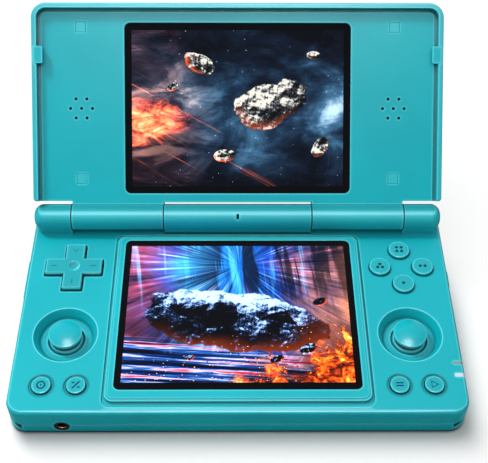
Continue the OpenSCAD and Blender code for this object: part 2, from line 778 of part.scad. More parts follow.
// A hinge pin, held in the end cap, on which the lid's barrel turns
module hinge_pin() {
    in_end = cap_end_x - cap_len;
    color(steel)
    translate([0, axis_y, axis_z]) rod_x(pin_r, in_end - pin_grip, in_end + pin_grip);
}
module hinge_pin_left() { mirror([1, 0, 0]) hinge_pin(); }
module hinge_pin_right() { hinge_pin(); }

// A cover glass with its middle at x = 0, y = y_mid and its top at z_top
module cover_glass(w, d, y_mid, z_top) {
    color(black)
    plate(-w / 2, w / 2, y_mid - d / 2, y_mid + d / 2, z_top - glass_t, z_top, glass_r);
}
module picture_panel(w, d, y_mid, z_top) {
    color([0.1, 0.15, 0.3])
    block(-w / 2, w / 2, y_mid - d / 2, y_mid + d / 2, z_top - lcd_t, z_top);
}
module lower_glass() {
    cover_glass(low_glass_w, low_glass_d, low_glass_y, frame_z - glass_sink);
}
module lower_lcd() {
    picture_panel(low_lcd_w, low_lcd_d, low_glass_y, frame_z - glass_sink - glass_t);
}

// Circuit board: a middle field with wings below the buttons
module main_board() {
    color(board_green)
    difference() {
        union() {
            block(-board_half, board_half, wing_back - 2, axis_y + 1.5, board_bottom, board_top);
            block(-wing_x, wing_x, wing_front, wing_back, board_bottom, board_top);
            block(-wing_x, wing_x, pad_y - pad_wing_half, pad_y + pad_wing_half, board_bottom, board_top);
        }
        both_sides()
            for (p = screw_spots)
                translate([p[0], p[1], board_bottom - 1]) cylinder(r = lower_boss_r + 0.3, h = board_t + 2);
        jack_room(board_bottom - 1, board_top + 1);
    }
}
// Room for the headphone socket's body
module jack_room(z0, z1) {
    block(jack_x - jack_body_w / 2 - 0.3, jack_x + jack_body_w / 2 + 0.3, front_y - 1,
        front_y + jack_bore_len + 1.3, z0, z1);
}
module battery() {
    color([0.2, 0.2, 0.22])
    plate(-battery_w / 2, battery_w / 2, -battery_d / 2, battery_d / 2, floor_t, board_bottom - battery_gap, 1.5);
}

// A rubber sheet on the board with a raised dome below each button
module rubber_sheet(x0, x1, y0, y1, spots, dome_r) {
    color(rubber_grey) {
        block(x0, x1, y0, y1, board_top, rubber_top);
        for (p = spots)
            translate([p[0], p[1], board_top]) cylinder(r = dome_r, h = dome_top - board_top);
    }
}
module cross_rubber() {
    reach = cross_len / 2;
    rubber_sheet(-group_x - reach, -group_x + reach, pad_y - reach, pad_y + reach,
        [for (p = face_spots) [-group_x + p[0] * cross_dome_at, pad_y + p[1] * cross_dome_at]], 2);
}
module face_rubber() {
    reach = face_offset + face_d / 2 - 1;
    rubber_sheet(group_x - reach, group_x + reach, pad_y - reach, pad_y + reach,
        [for (i = [0 : 3]) face_at(i)], 2.5);
}
module small_rubber_left() {
    difference() {
        rubber_sheet(-group_x - small_pitch / 2 - 2.4, -group_x + small_pitch / 2 + 2.4, small_y - 2.4,
            small_y + 2.4 + small_join, [for (i = [0, 1]) small_at(i)], 1.9);
        jack_room(board_bottom, dome_top + 1);
    }
}
small_join = 1.8;
module small_rubber_right() {
    rubber_sheet(group_x - small_pitch / 2 - 2.4, group_x + small_pitch / 2 + 2.4, small_y - 2.4,
        small_y + 2.4, [for (i = [2, 3]) small_at(i)], 1.9);
}

// A round push button: cap, flange below the deck and foot over the rubber dome
module push_button(at, d, proud) {
    r = d / 2;
    top = base_h + proud;
    color(teal)
    translate([at[0], at[1], 0]) rotate_extrude() {
        translate([0, foot_z]) square([r - 1.2, top - foot_z]);
        translate([0, flange_top - flange_t]) square([r, top - button_edge_r - flange_top + flange_t]);
        translate([0, top - button_edge_r - eps]) square([r - button_edge_r, button_edge_r + eps]);
        translate([r - button_edge_r, top - button_edge_r]) intersection() {
            circle(r = button_edge_r);
            square(button_edge_r + 1);
        }
        translate([0, flange_top - flange_t]) square([r + flange_w, flange_t]);
    }
}
module face_button_back() { push_button(face_at(0), face_d, face_proud); }
module face_button_left() { push_button(face_at(1), face_d, face_proud); }
module face_button_right() { push_button(face_at(2), face_d, face_proud); }
module face_button_front() { push_button(face_at(3), face_d, face_proud); }
module small_button_1() { push_button(small_at(0), small_d, small_proud); }
module small_button_2() { push_button(small_at(1), small_d, small_proud); }
module small_button_3() { push_button(small_at(2), small_d, small_proud); }
module small_button_4() { push_button(small_at(3), small_d, small_proud); }

// Cross pad with a dimple on top, a round flange and a socket for the pivot ball
module cross_pad() {
    top = base_h + cross_proud;
    dimple_sphere = (dimple_r * dimple_r + dimple_depth * dimple_depth) / (2 * dimple_depth);
    color(teal)
    translate([-group_x, pad_y, 0])
    difference() {
        union() {
            cross_form(cross_len, cross_arm, cross_r, cross_flange_top - flange_t, top - 0.3);
            cross_form(cross_len - 0.5, cross_arm - 0.5, cross_r - 0.25, top - 0.4, top);
            translate([0, 0, cross_flange_top - flange_t]) cylinder(r = cross_flange_r, h = flange_t);
            translate([0, 0, ball_z - 0.5]) cylinder(r = ball_r + 1.4, h = cross_flange_top - ball_z);
        }
        translate([0, 0, ball_z]) sphere(r = ball_r + run_gap);
        translate([0, 0, top + dimple_sphere - dimple_depth]) sphere(r = dimple_sphere);
    }
}
module cross_ball() {
    color(steel)
    translate([-group_x, pad_y, ball_z]) sphere(r = ball_r);
}

// Thumb stick: domed cap, stem, round skirt and the two legs that straddle the yoke
module stick() {
    rim = base_h + cap_rim_h - pivot_z;
    dome_r = (cap_r * cap_r + cap_dome * cap_dome) / (2 * cap_dome);
    stem_r = 2.2;
    bridge = 2.7;
    color(teal)
    translate([group_x, stick_y, pivot_z])
    difference() {
        union() {
            translate([0, 0, rim - cap_side]) cylinder(r = cap_r, h = cap_side);
            intersection() {
                translate([0, 0, rim + cap_dome - dome_r]) sphere(r = dome_r);
                translate([0, 0, rim - eps]) cylinder(r = cap_r, h = cap_dome + 1);
            }
            translate([0, 0, bridge]) cylinder(r = stem_r, h = rim - bridge);
            rotate_extrude() skirt_profile();
            for (side = [-1, 1])
                translate([0, side * (leg_in + leg_out) / 2, 0]) {
                    rotate([90, 0, 0]) cylinder(r = leg_half, h = leg_out - leg_in, center = true);
                    translate([-leg_half, (leg_in - leg_out) / 2, 0]) cube([2 * leg_half, leg_out - leg_in, bridge + 1]);
                }
            translate([-leg_half, -leg_out, bridge]) cube([2 * leg_half, 2 * leg_out, 1]);
        }
        rotate([90, 0, 0]) cylinder(r = joint_r + run_gap, h = 3 * leg_out, center = true);
    }
}
// Half section of the skirt: a ring between two spheres, down to its lower edge
module skirt_profile() {
    difference() {
        circle(r = skirt_r);
        circle(r = skirt_r - skirt_t);
        translate([-2 * skirt_r, -skirt_r]) square([2 * skirt_r, 2 * skirt_r]);
        translate([-skirt_r, -2 * skirt_r]) square([3 * skirt_r, 2 * skirt_r + skirt_r * cos(skirt_polar)]);
    }
}
module stick_left() { mirror([1, 0, 0]) stick(); }
module stick_right() { stick(); }

// Yoke: a small block with a pin each way
module stick_yoke() {
    block_z = 1.5;
    color(steel)
    translate([group_x, stick_y, pivot_z]) {
        block(-yoke_half, yoke_half, 0.4 - yoke_half, yoke_half - 0.4, -block_z, block_z);
        rod_x(joint_r, -ear_out + 0.1, ear_out - 0.1);
        rod_y(joint_r, -leg_out, leg_out);
    }
}
module stick_yoke_left() { mirror([1, 0, 0]) stick_yoke(); }
module stick_yoke_right() { stick_yoke(); }

// Carriage: a plate with two ears for the yoke and a foot over the click switch
module stick_carriage() {
    reach = 4;
    color(rubber_grey)
    translate([group_x, stick_y, 0])
    difference() {
        union() {
            block(-reach, reach, -reach, reach, plate_top - plate_t, plate_top);
            block(-reach - 1.3, reach + 1.3, -1.5, 1.5, plate_top - plate_t, plate_top);
            translate([0, 0, plate_top - plate_t - carriage_foot]) cylinder(r = 1.5, h = carriage_foot + eps);
            for (side = [-1, 1])
                translate([side * (ear_in + ear_out) / 2 - (ear_out - ear_in) / 2, -leg_half, plate_top - eps])
                    cube([ear_out - ear_in, 2 * leg_half, pivot_z + 1.5 - plate_top]);
        }
        translate([0, 0, pivot_z]) rod_x(joint_r + run_gap, -2 * ear_out, 2 * ear_out);
    }
}
module stick_carriage_left() { mirror([1, 0, 0]) stick_carriage(); }
module stick_carriage_right() { stick_carriage(); }

// Housing: a plate with four posts that reach up to the well
module stick_housing() {
    post_top = well_floor_z - well_floor_t;
    color([0.4, 0.4, 0.42])
    translate([group_x, stick_y, 0]) {
        block(-housing_half, housing_half, -housing_half, housing_half, housing_top - housing_t, housing_top);
        for (x = [-housing_half, housing_half - post_w])
            for (y = [-housing_half, housing_half - post_w])
                block(x, x + post_w, y, y + post_w, housing_top - eps, post_top);
    }
}
module stick_housing_left() { mirror([1, 0, 0]) stick_housing(); }
module stick_housing_right() { stick_housing(); }

// A shoulder button's block between two depths, centred on x
module shoulder_block(x, w, h, y0, y1) {
    block(x - w / 2, x + w / 2, y0, y1, shoulder_z - h / 2, shoulder_z + h / 2);
}
switch_face = in_rear - 4.1;
module shoulder_button(x, w) {
    flange_y = in_rear - slide_gap;
    color(teal) {
        difference() {
            shoulder_block(x, w, shoulder_face_h, flange_y - flange_t, rear_y + shoulder_proud);
            // bevels along the top and bottom of the face
            for (s = [-1, 1])
                translate([x, rear_y + shoulder_proud, shoulder_z + s * shoulder_face_h / 2])
                    rotate([45, 0, 0]) cube([w + 2, 0.7, 0.7], center = true);
        }
        shoulder_block(x, w - 2, shoulder_face_h + 1, flange_y - flange_t, flange_y);
        shoulder_block(x, 2, 2, switch_face + shoulder_press + soft_gap, flange_y);
    }
}
module shoulder_outer_left() { mirror([1, 0, 0]) shoulder_button(shoulder_outer_x, shoulder_outer_w); }
module shoulder_inner_left() { mirror([1, 0, 0]) shoulder_button(shoulder_inner_x, shoulder_inner_w); }
module shoulder_outer_right() { shoulder_button(shoulder_outer_x, shoulder_outer_w); }
module shoulder_inner_right() { shoulder_button(shoulder_inner_x, shoulder_inner_w); }

// The small board behind two shoulder buttons, with a switch for each
module shoulder_switches() {
    color(board_green) {
        block(shoulder_inner_x - 3, shoulder_outer_x + 3, switch_face - 1.6, switch_face - 0.8,
            board_top + 0.4, deck_under);
        for (x = [shoulder_inner_x, shoulder_outer_x])
            shoulder_block(x, 3, 3, switch_face - 0.9, switch_face);
    }
}
module shoulder_switches_left() { mirror([1, 0, 0]) shoulder_switches(); }
module shoulder_switches_right() { shoulder_switches(); }

// Keys in the side walls. dir is -1 on the left and 1 on the right
module side_key_block(dir, length, height, x0, x1) {
    r = height / 2;
    for (s = [-1, 1])
        translate([0, side_y + s * (length / 2 - r), side_z])
            rod_x(r, min(dir * x0, dir * x1), max(dir * x0, dir * x1));
    block(min(dir * x0, dir * x1), max(dir * x0, dir * x1), side_y - length / 2 + r,
        side_y + length / 2 - r, side_z - r, side_z + r);
}
module side_key_hole(dir, length) {
    side_key_block(dir, length + 0.6, side_key_h + 0.6, in_x - 1, side_x + 1);
}
rocker_peg_r = 0.6;
rocker_gap = 0.4;
rocker_pivot_x = -in_x + rocker_gap + 1.9;
module volume_rocker() {
    color(teal)
    difference() {
        union() {
            side_key_block(-1, rocker_len, side_key_h, in_x - rocker_gap - 0.8, side_x + side_proud);
            block(-in_x + rocker_gap, -in_x + rocker_gap + 0.8, side_y - rocker_len / 2 - 0.8,
                side_y + rocker_len / 2 + 0.8, side_z - side_key_h / 2, side_z + side_key_h / 2);
            translate([rocker_pivot_x, side_y, side_z - side_key_h / 2]) cylinder(r = 1.4, h = side_key_h);
        }
        translate([rocker_pivot_x, side_y, side_z - side_key_h]) cylinder(r = rocker_peg_r + run_gap, h = 2 * side_key_h);
    }
}
module power_button() {
    color(teal) {
        side_key_block(1, power_len, side_key_h, in_x - slide_gap - 0.8, side_x + side_proud);
        block(in_x - slide_gap - 0.8, in_x - slide_gap, side_y - power_len / 2 - 0.8,
            side_y + power_len / 2 + 0.8, side_z - side_key_h / 2, side_z + side_key_h / 2);
    }
}

// Headphone socket: a round nose in the front wall and a body behind it
jack_body_w = 5;
module headphone_socket() {
    nose_len = wall + 0.9;
    color(black)
    translate([jack_x, 0, jack_z])
    difference() {
        union() {
            rod_y(jack_nose_r, front_y, front_y + nose_len);
            block(-jack_body_w / 2, jack_body_w / 2, in_front + 0.1, front_y + jack_bore_len + 1,
                -jack_bore_r - 0.8, jack_bore_r + 0.8);
        }
        rod_y(jack_bore_r, front_y - 1, front_y + jack_bore_len);
    }
}

// A shape with round ends for the charging socket, between two depths
module usb_form(w, h, y0, y1) {
    z = board_top + usb_h / 2;
    for (s = [-1, 1])
        translate([s * (w / 2 - h / 2), 0, z]) rod_y(h / 2, y0, y1);
    block(h / 2 - w / 2, w / 2 - h / 2, y0, y1, z - h / 2, z + h / 2);
}
module charging_socket() {
    shell = 0.35;
    depth = 6.5;
    color(steel) {
        difference() {
            usb_form(usb_w, usb_h, rear_y - 0.3 - depth - shell, rear_y - 0.3);
            usb_form(usb_w - 2 * shell, usb_h - 2 * shell, rear_y - 0.3 - depth, rear_y + 1);
        }
        block(-2.9, 2.9, rear_y - 0.3 - depth - shell / 2, rear_y - 1.2, board_top + usb_h / 2 - 0.35,
            board_top + usb_h / 2 + 0.35);
    }
}

// Card socket: a flat box on the board, open to the rear
card_z = board_top + 0.5 + card_h / 2;
module card_socket() {
    depth = 13;
    skin = 0.5;
    color(steel)
    difference() {
        block(card_x - card_w / 2 - skin, card_x + card_w / 2 + skin, in_rear - depth, in_rear,
            card_z - card_h / 2 - skin, card_z + card_h / 2 + skin);
        block(card_x - card_w / 2, card_x + card_w / 2, in_rear - depth + 1, in_rear + 1,
            card_z - card_h / 2, card_z + card_h / 2);
    }
}

// Light bars that wrap over the right edge of the deck
module led_cut(y, w) {
    block(side_x - led_len, side_x + 1, y - w / 2, y + w / 2, deck_under - 1.2, base_h + 1);
}
module light_bar(y, w) {
    color([0.95, 0.93, 0.9])
    difference() {
        intersection() {
            base_form();
            led_cut(y, w);
        }
        block(0, in_x, y - w, y + w, 0, deck_under);
    }
}
module light_bar_back() { light_bar(led_back_y, led_back_w); }
module light_bar_front() { light_bar(led_front_y, led_front_w); }

module rubber_feet() {
    color(rubber_grey)
    both_sides()
        for (p = foot_spots)
            translate([p[0], p[1], 0]) cylinder(r = foot_r, h = foot_pad_t);
}

// Six screws from below, through the lower bosses into the upper ones
module case_screws() {
    color(steel)
    both_sides()
        for (p = screw_spots)
            translate([p[0], p[1], screw_sink])
            difference() {
                union() {
                    cylinder(r = screw_head_r, h = screw_head_t);
                    cylinder(r = screw_r, h = screw_top - screw_sink);
                }
                // cross recess in the head
                for (a = [0, 90])
                    rotate([0, 0, a]) translate([-1.1, -0.2, -1]) cube([2.2, 0.4, 1.7]);
            }
}

// Places a lid piece, drawn flat with s along Y and h along Z, at the lid's open angle
module on_lid() {
    translate([0, axis_y, axis_z]) rotate([lid_angle, 0, 0]) children();
}
// Places in the lid, each mirrored to the other half
plug_spots = [[plug_x, plug_near_s], [plug_x, plug_far_s]];

// Back shell of the lid with its rim and the two hinge barrels
module lid_back() {
    bore_start = cap_end_x - cap_len;
    color(teal)
    on_lid()
    difference() {
        union() {
            difference() {
                rounded_slab(lid_w, lid_heel, lid_len, -lid_back_h, rim_h, lid_heel_r, lid_corner_r,
                    lid_back_r, lid_edge_r);
                // recess in front of the panel, the groove and the space behind the panel
                plate(-cavity_x, cavity_x, -5, cavity_s, ledge_h, rim_h + 1, lid_corner_r - rim_w);
                plate(-panel_x - seat_gap, panel_x + seat_gap, -5, panel_s + seat_gap, panel_under, rim_h, 2);
                block(-panel_x, panel_x, lid_heel + 1.8, panel_s - 1.2, lid_floor_h, rim_h);
            }
            // plates that join the barrels, and the panel's support over them
            both_sides() {
                block(knuckle_in, knuckle_out, 0, lid_heel + 2, -lid_back_h, panel_under);
                rod_x(hinge_r, knuckle_in, knuckle_out);
                for (p = plug_spots)
                    translate([p[0], p[1], lid_floor_h - eps]) cylinder(r = 2.4, h = panel_under - lid_floor_h + eps);
            }
            block(-knuckle_in - 1, knuckle_in + 1, centre_heel, lid_heel + 2, -lid_back_h + lid_back_r, panel_under);
        }
        both_sides() {
            rod_x(pin_r + run_gap, bore_start - pin_grip - 0.3, bore_start + 1);
            for (p = plug_spots)
                translate([p[0], p[1], lid_floor_h + 0.3]) cylinder(r = lid_screw_r + run_gap, h = 4);
            stop_block(rim_h + 1);
        }
    }
}

// Front panel of the lid, around the upper glass
module lid_panel() {
    color(teal)
    on_lid()
    difference() {
        union() {
            plate(-panel_x, panel_x, lid_heel + 1, panel_s, panel_under, panel_h, 2);
            block(-panel_x, panel_x, lid_heel, lid_heel + 4, panel_under, panel_h);
            block(-centre_half, centre_half, centre_heel, lid_heel + 4, panel_under, panel_h);
            both_sides() block(knuckle_in, knuckle_out, lid_lap, lid_heel + 4, panel_under, panel_h);
        }
        rod_x(hinge_r + slide_gap, -lid_w, lid_w);
        plate(-up_glass_w / 2 - seat_gap, up_glass_w / 2 + seat_gap, up_glass_s - up_glass_d / 2 - seat_gap,
            up_glass_s + up_glass_d / 2 + seat_gap, panel_h - glass_sink - glass_t, panel_h + 1, glass_r);
        block(-up_lcd_w / 2 - seat_gap, up_lcd_w / 2 + seat_gap, up_glass_s - up_lcd_d / 2 - seat_gap,
            up_glass_s + up_lcd_d / 2 + seat_gap, panel_under - 1, panel_h);
        both_sides() {
            for (p = speaker_holes())
                translate([p[0], p[1], panel_under - 1]) cylinder(r = speaker_hole_r, h = lid_panel_t + 2, $fn = 24);
            for (p = plug_spots) {
                block(p[0] - plug_w / 2 - seat_gap, p[0] + plug_w / 2 + seat_gap, p[1] - plug_w / 2 - seat_gap,
                    p[1] + plug_w / 2 + seat_gap, panel_h - plug_t, panel_h + 1);
                translate([p[0], p[1], panel_under - 1]) cylinder(r = lid_screw_r + 0.15, h = lid_panel_t + 2);
                translate([p[0], p[1], panel_h - plug_t - lid_screw_head_t - seat_gap])
                    cylinder(r = lid_screw_head_r + 0.15, h = 2);
            }
        }
    }
}
function speaker_holes() =
    concat([[speaker_x, speaker_s]], [for (a = [0 : 60 : 300])
        [speaker_x + speaker_pitch * cos(a), speaker_s + speaker_pitch * sin(a)]]);

module upper_glass() {
    on_lid() cover_glass(up_glass_w, up_glass_d, up_glass_s, panel_h - glass_sink);
}
module upper_lcd() {
    on_lid()
        picture_panel(up_lcd_w, up_lcd_d, up_glass_s, panel_h - glass_sink - glass_t);
}
module speaker(dir) {
    color(rubber_grey)
    on_lid()
        translate([dir * speaker_x, speaker_s, lid_floor_h])
            cylinder(r = speaker_r, h = panel_under - seat_gap - lid_floor_h);
}
module speaker_left() { speaker(-1); }
module speaker_right() { speaker(1); }

// Four square plugs over the lid's screws
module lid_plugs() {
    color(teal)
    on_lid()
        both_sides()
            for (p = plug_spots)
                block(p[0] - plug_w / 2, p[0] + plug_w / 2, p[1] - plug_w / 2, p[1] + plug_w / 2,
                    panel_h - plug_t, panel_h - 0.03);
}
module lid_screws() {
    color(steel)
    on_lid()
        both_sides()
            for (p = plug_spots)
                translate([p[0], p[1], panel_h - plug_t - lid_screw_head_t - seat_gap]) {
                    cylinder(r = lid_screw_head_r, h = lid_screw_head_t);
                    translate([0, 0, -1.8]) cylinder(r = lid_screw_r, h = 1.8 + eps);
                }
}

// A stop at the lid's side, let into the rim: its block, up to the height given
module stop_block(top) {
    plate(stop_in_x, lid_x - 0.8, stop_s - stop_len / 2, stop_s + stop_len / 2,
        rim_h + stop_proud - stop_t, top, 0.6);
}
module lid_stops() {
    color(teal)
    on_lid()
        both_sides() stop_block(rim_h + stop_proud);
}

upper_shell();
lower_shell();
hinge_cap_left();
hinge_cap_right();
hinge_centre();
hinge_pin_left();
hinge_pin_right();
ribbon_roll();
microphone();
lower_glass();
lower_lcd();
main_board();
battery();
cross_pad();
cross_ball();
cross_rubber();
face_rubber();
small_rubber_left();
small_rubber_right();
face_button_back();
face_button_left();
face_button_right();
face_button_front();
small_button_1();
small_button_2();
small_button_3();
small_button_4();
stick_left();
stick_yoke_left();
stick_carriage_left();
stick_housing_left();
stick_right();
stick_yoke_right();
stick_carriage_right();
stick_housing_right();
shoulder_outer_left();
shoulder_inner_left();
shoulder_outer_right();
shoulder_inner_right();
shoulder_switches_left();
shoulder_switches_right();
volume_rocker();
power_button();
headphone_socket();
charging_socket();
card_socket();
light_bar_back();
light_bar_front();
rubber_feet();
case_screws();
lid_back();
lid_panel();
upper_glass();
upper_lcd();
speaker_left();
speaker_right();
lid_plugs();
lid_stops();
lid_screws();
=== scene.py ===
"""The looks of a clamshell handheld game console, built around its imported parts."""
import math

import bmesh
import bpy
from mathutils import Matrix, Vector


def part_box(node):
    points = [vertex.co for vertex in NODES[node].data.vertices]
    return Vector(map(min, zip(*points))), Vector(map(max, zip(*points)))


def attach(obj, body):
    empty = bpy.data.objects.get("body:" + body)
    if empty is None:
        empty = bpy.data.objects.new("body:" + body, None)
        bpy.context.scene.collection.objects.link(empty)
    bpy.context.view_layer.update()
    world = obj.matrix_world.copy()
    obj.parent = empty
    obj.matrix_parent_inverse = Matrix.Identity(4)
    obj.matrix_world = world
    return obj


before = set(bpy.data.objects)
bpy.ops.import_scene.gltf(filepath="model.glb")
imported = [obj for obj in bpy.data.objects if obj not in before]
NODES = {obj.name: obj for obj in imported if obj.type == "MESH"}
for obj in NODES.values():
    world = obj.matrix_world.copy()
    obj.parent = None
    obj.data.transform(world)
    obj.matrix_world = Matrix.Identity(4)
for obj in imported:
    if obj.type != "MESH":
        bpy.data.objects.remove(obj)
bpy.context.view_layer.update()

bl_info = {
    "name": "Clamshell Handheld Console",
    "version": (1, 0, 0),
    "blender": (4, 5, 0),
    "location": "View3D > Sidebar > Console",
    "description": "Finishes, legends and screen pictures for a clamshell handheld console",
    "category": "Object",
}

MM = 0.001

# Places that the source also uses, in millimetres, and the lid's lean at rest
HINGE_Y = 39.4
HINGE_Z = 18.1
LID_ANGLE = math.radians(44.2)
BARREL_R = 5.0
GROUP_X = 62.0
PAD_Y = 18.1
DISH_R = 2.4
DECK_Z = 13.0
STICK_Y = -12.2
WELL_R = 11.5
WELL_FLOOR_R = 9.3
PICTURE_HALF_X = 40.64
LOW_PICTURE_Y = -2.4
LOW_PICTURE_HALF_Y = 30.48
UP_PICTURE_S = 41.8
UP_PICTURE_HALF_S = 29.85
SLOT_X = 73.5
SLOT_Y = -38.4
SLOT_Z = 2.4
SLOT_REACH = 5.65

# Sizes that only the finishes and the marks use, in millimetres
CAP_LOW_Z = 12.75
SKIRT_LINE_Z = 10.05
EDGE_REACH = 0.9
LID_SHADE_REACH = 20
MARK_HALF_HEIGHT = 0.02
PIP_SPACING = 0.9

# Edges of the hulls that bend more than this stay sharp
SHARP_ANGLE = math.radians(32)

# The floor and the camera, in metres and radians
FLOOR_HALF = 1.6
FLOOR_STEPS = 24
FLOOR_Z = -0.00005
CONTACT_REACH = 0.0025
EYE_X = -0.0010
EYE_Y = -0.2119
LOOK_DOWN = math.radians(49.73)
LOOK_RIGHT = math.radians(0.8)
ROLL = math.radians(0.59)


def srgb(r, g, b):
    """Turns a colour read off a screen, 0 to 255, into linear light."""
    def line(c):
        c /= 255.0
        return c / 12.92 if c <= 0.04045 else ((c + 0.055) / 1.055) ** 2.4
    return (line(r), line(g), line(b))


def shaded(colour, factor):
    """A colour made darker by a factor."""
    return tuple(c * factor for c in colour)


# Colours that the finishes add to the user's own: painted highlights, pearl specks, painted shade and
# shadows, engraved ink, and the glass's black
# a painted highlight on upward fillets and on the wells' rims
PAINTED_HIGHLIGHT = srgb(116, 236, 246)
# pearl specks in the plastic
PEARL = srgb(60, 190, 200)
# painted highlights on the cross pad's dish and on a stick's skirt
DISH_PAINTED_HIGHLIGHT = srgb(150, 240, 246)
SKIRT_PAINTED_HIGHLIGHT = srgb(120, 225, 232)
# painted shadow under a stick's cap, painted shade in the barrels' seams, painted shadow at the centre
# barrel's foot, painted shade inside the strap slots
SKIRT_PAINTED_SHADOW = srgb(0, 44, 58)
SEAM_PAINTED_SHADE = srgb(0, 62, 74)
FOOT_PAINTED_SHADOW = srgb(0, 36, 50)
SLOT_PAINTED_SHADE = srgb(0, 24, 32)
ENGRAVED = srgb(4, 112, 126)
BLACK_GLASS = (0.0012, 0.0016, 0.003)
BLACK = (0.0, 0.0, 0.0)
WHITE = (1.0, 1.0, 1.0)

# The floor's colours: as seen, with a painted contact shadow under the console's edge, as it lights the
# console, and as mirrored
PAPER = (0.92, 0.92, 0.92)
PAPER_SHADE = srgb(20, 40, 46)
PAPER_BOUNCE = (0.5, 0.5, 0.5)
PAPER_MIRRORED = (0.1, 0.1, 0.1)


def box_of(node):
    """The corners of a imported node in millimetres."""
    low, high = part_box(node)
    return low / MM, high / MM


def top_of(node):
    """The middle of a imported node's top in millimetres."""
    low, high = box_of(node)
    return Vector(((low.x + high.x) / 2, (low.y + high.y) / 2, high.z))


# ---------------------------------------------------------------- sizes that a user may change

class ConsoleShell(bpy.types.PropertyGroup):
    plastic: bpy.props.FloatVectorProperty(
        name="Plastic", description="Colour of the moulded shell",
        default=srgb(4, 172, 184), size=3, min=0, max=1, subtype="COLOR")
    plastic_deep: bpy.props.FloatVectorProperty(
        name="Deep plastic", description="Colour that the shell drifts to",
        default=srgb(2, 165, 178), size=3, min=0, max=1, subtype="COLOR")
    # the colour of the painted highlight along the shell's edges
    edge: bpy.props.FloatVectorProperty(
        name="Edges", description="Colour of the shell along its edges",
        default=srgb(96, 226, 236), size=3, min=0, max=1, subtype="COLOR")
    mark: bpy.props.FloatVectorProperty(
        name="Marks", description="Colour of the marks on the buttons",
        default=srgb(0, 56, 70), size=3, min=0, max=1, subtype="COLOR")
    edge_radius: bpy.props.FloatProperty(
        name="Edge radius", description="Radius that softens the moulded edges",
        default=0.28 * MM, min=0, max=1 * MM, unit="LENGTH")
    satin: bpy.props.FloatProperty(
        name="Satin", description="Roughness of the shell",
        default=0.38, min=0.05, max=1, subtype="FACTOR")


class ConsoleMarks(bpy.types.PropertyGroup):
    stroke: bpy.props.FloatProperty(
        name="Stroke", description="Width of a mark's stroke",
        default=0.5 * MM, min=0.1 * MM, max=1 * MM, unit="LENGTH")
    pip: bpy.props.FloatProperty(
        name="Pip", description="Radius of a pip on a face button",
        default=0.62 * MM, min=0.2 * MM, max=1 * MM, unit="LENGTH")


class ConsoleStudio(bpy.types.PropertyGroup):
    lens: bpy.props.FloatProperty(
        name="Lens", description="Focal length of the camera", default=72.3, min=20, max=200)
    height: bpy.props.FloatProperty(
        name="Camera height", description="Height of the camera above the floor",
        default=0.3059, min=0.05, max=2, unit="LENGTH")
    key: bpy.props.FloatProperty(
        name="Key light", description="Power of the light overhead",
        default=4.1, min=0, max=200, unit="POWER")
    side: bpy.props.FloatProperty(
        name="Side light", description="Power of the light from the upper left",
        default=4.2, min=0, max=200, unit="POWER")
    paper: bpy.props.FloatProperty(
        name="Paper light", description="Power of the light on the floor",
        default=9.8, min=0, max=200, unit="POWER")
    highlight: bpy.props.FloatProperty(
        name="Highlight", description="Power of the light that only gloss shows",
        default=13.0, min=0, max=200, unit="POWER")
    ambient: bpy.props.FloatProperty(
        name="Ambient", description="Level of the light from all around", default=0.42, min=0, max=2)


# ---------------------------------------------------------------- shader maths

class Field:
    """A number on a surface that Python expressions work on."""

    def __init__(self, graph, socket):
        self.graph = graph
        self.socket = socket

    def _do(self, operation, *values):
        return self.graph.maths(operation, *values)

    def __add__(self, other):
        return self._do("ADD", self, other)

    __radd__ = __add__

    def __sub__(self, other):
        return self._do("SUBTRACT", self, other)

    def __rsub__(self, other):
        return self._do("SUBTRACT", other, self)

    def __mul__(self, other):
        return self._do("MULTIPLY", self, other)

    __rmul__ = __mul__

    def __truediv__(self, other):
        return self._do("DIVIDE", self, other)

    def __rtruediv__(self, other):
        return self._do("DIVIDE", other, self)

    def __pow__(self, other):
        return self._do("POWER", self, other)

    def __neg__(self):
        return self._do("MULTIPLY", self, -1.0)

    def abs(self):
        return self._do("ABSOLUTE", self)

    def sqrt(self):
        return self._do("SQRT", self)

    def least(self, other):
        return self._do("MINIMUM", self, other)

    def most(self, other):
        return self._do("MAXIMUM", self, other)

    def step(self, low, high):
        """0 below low, 1 above high, smooth between."""
        return self.graph.node("ShaderNodeMapRange", {"interpolation_type": "SMOOTHSTEP"},
                               {"Value": self, "From Min": low, "From Max": high})


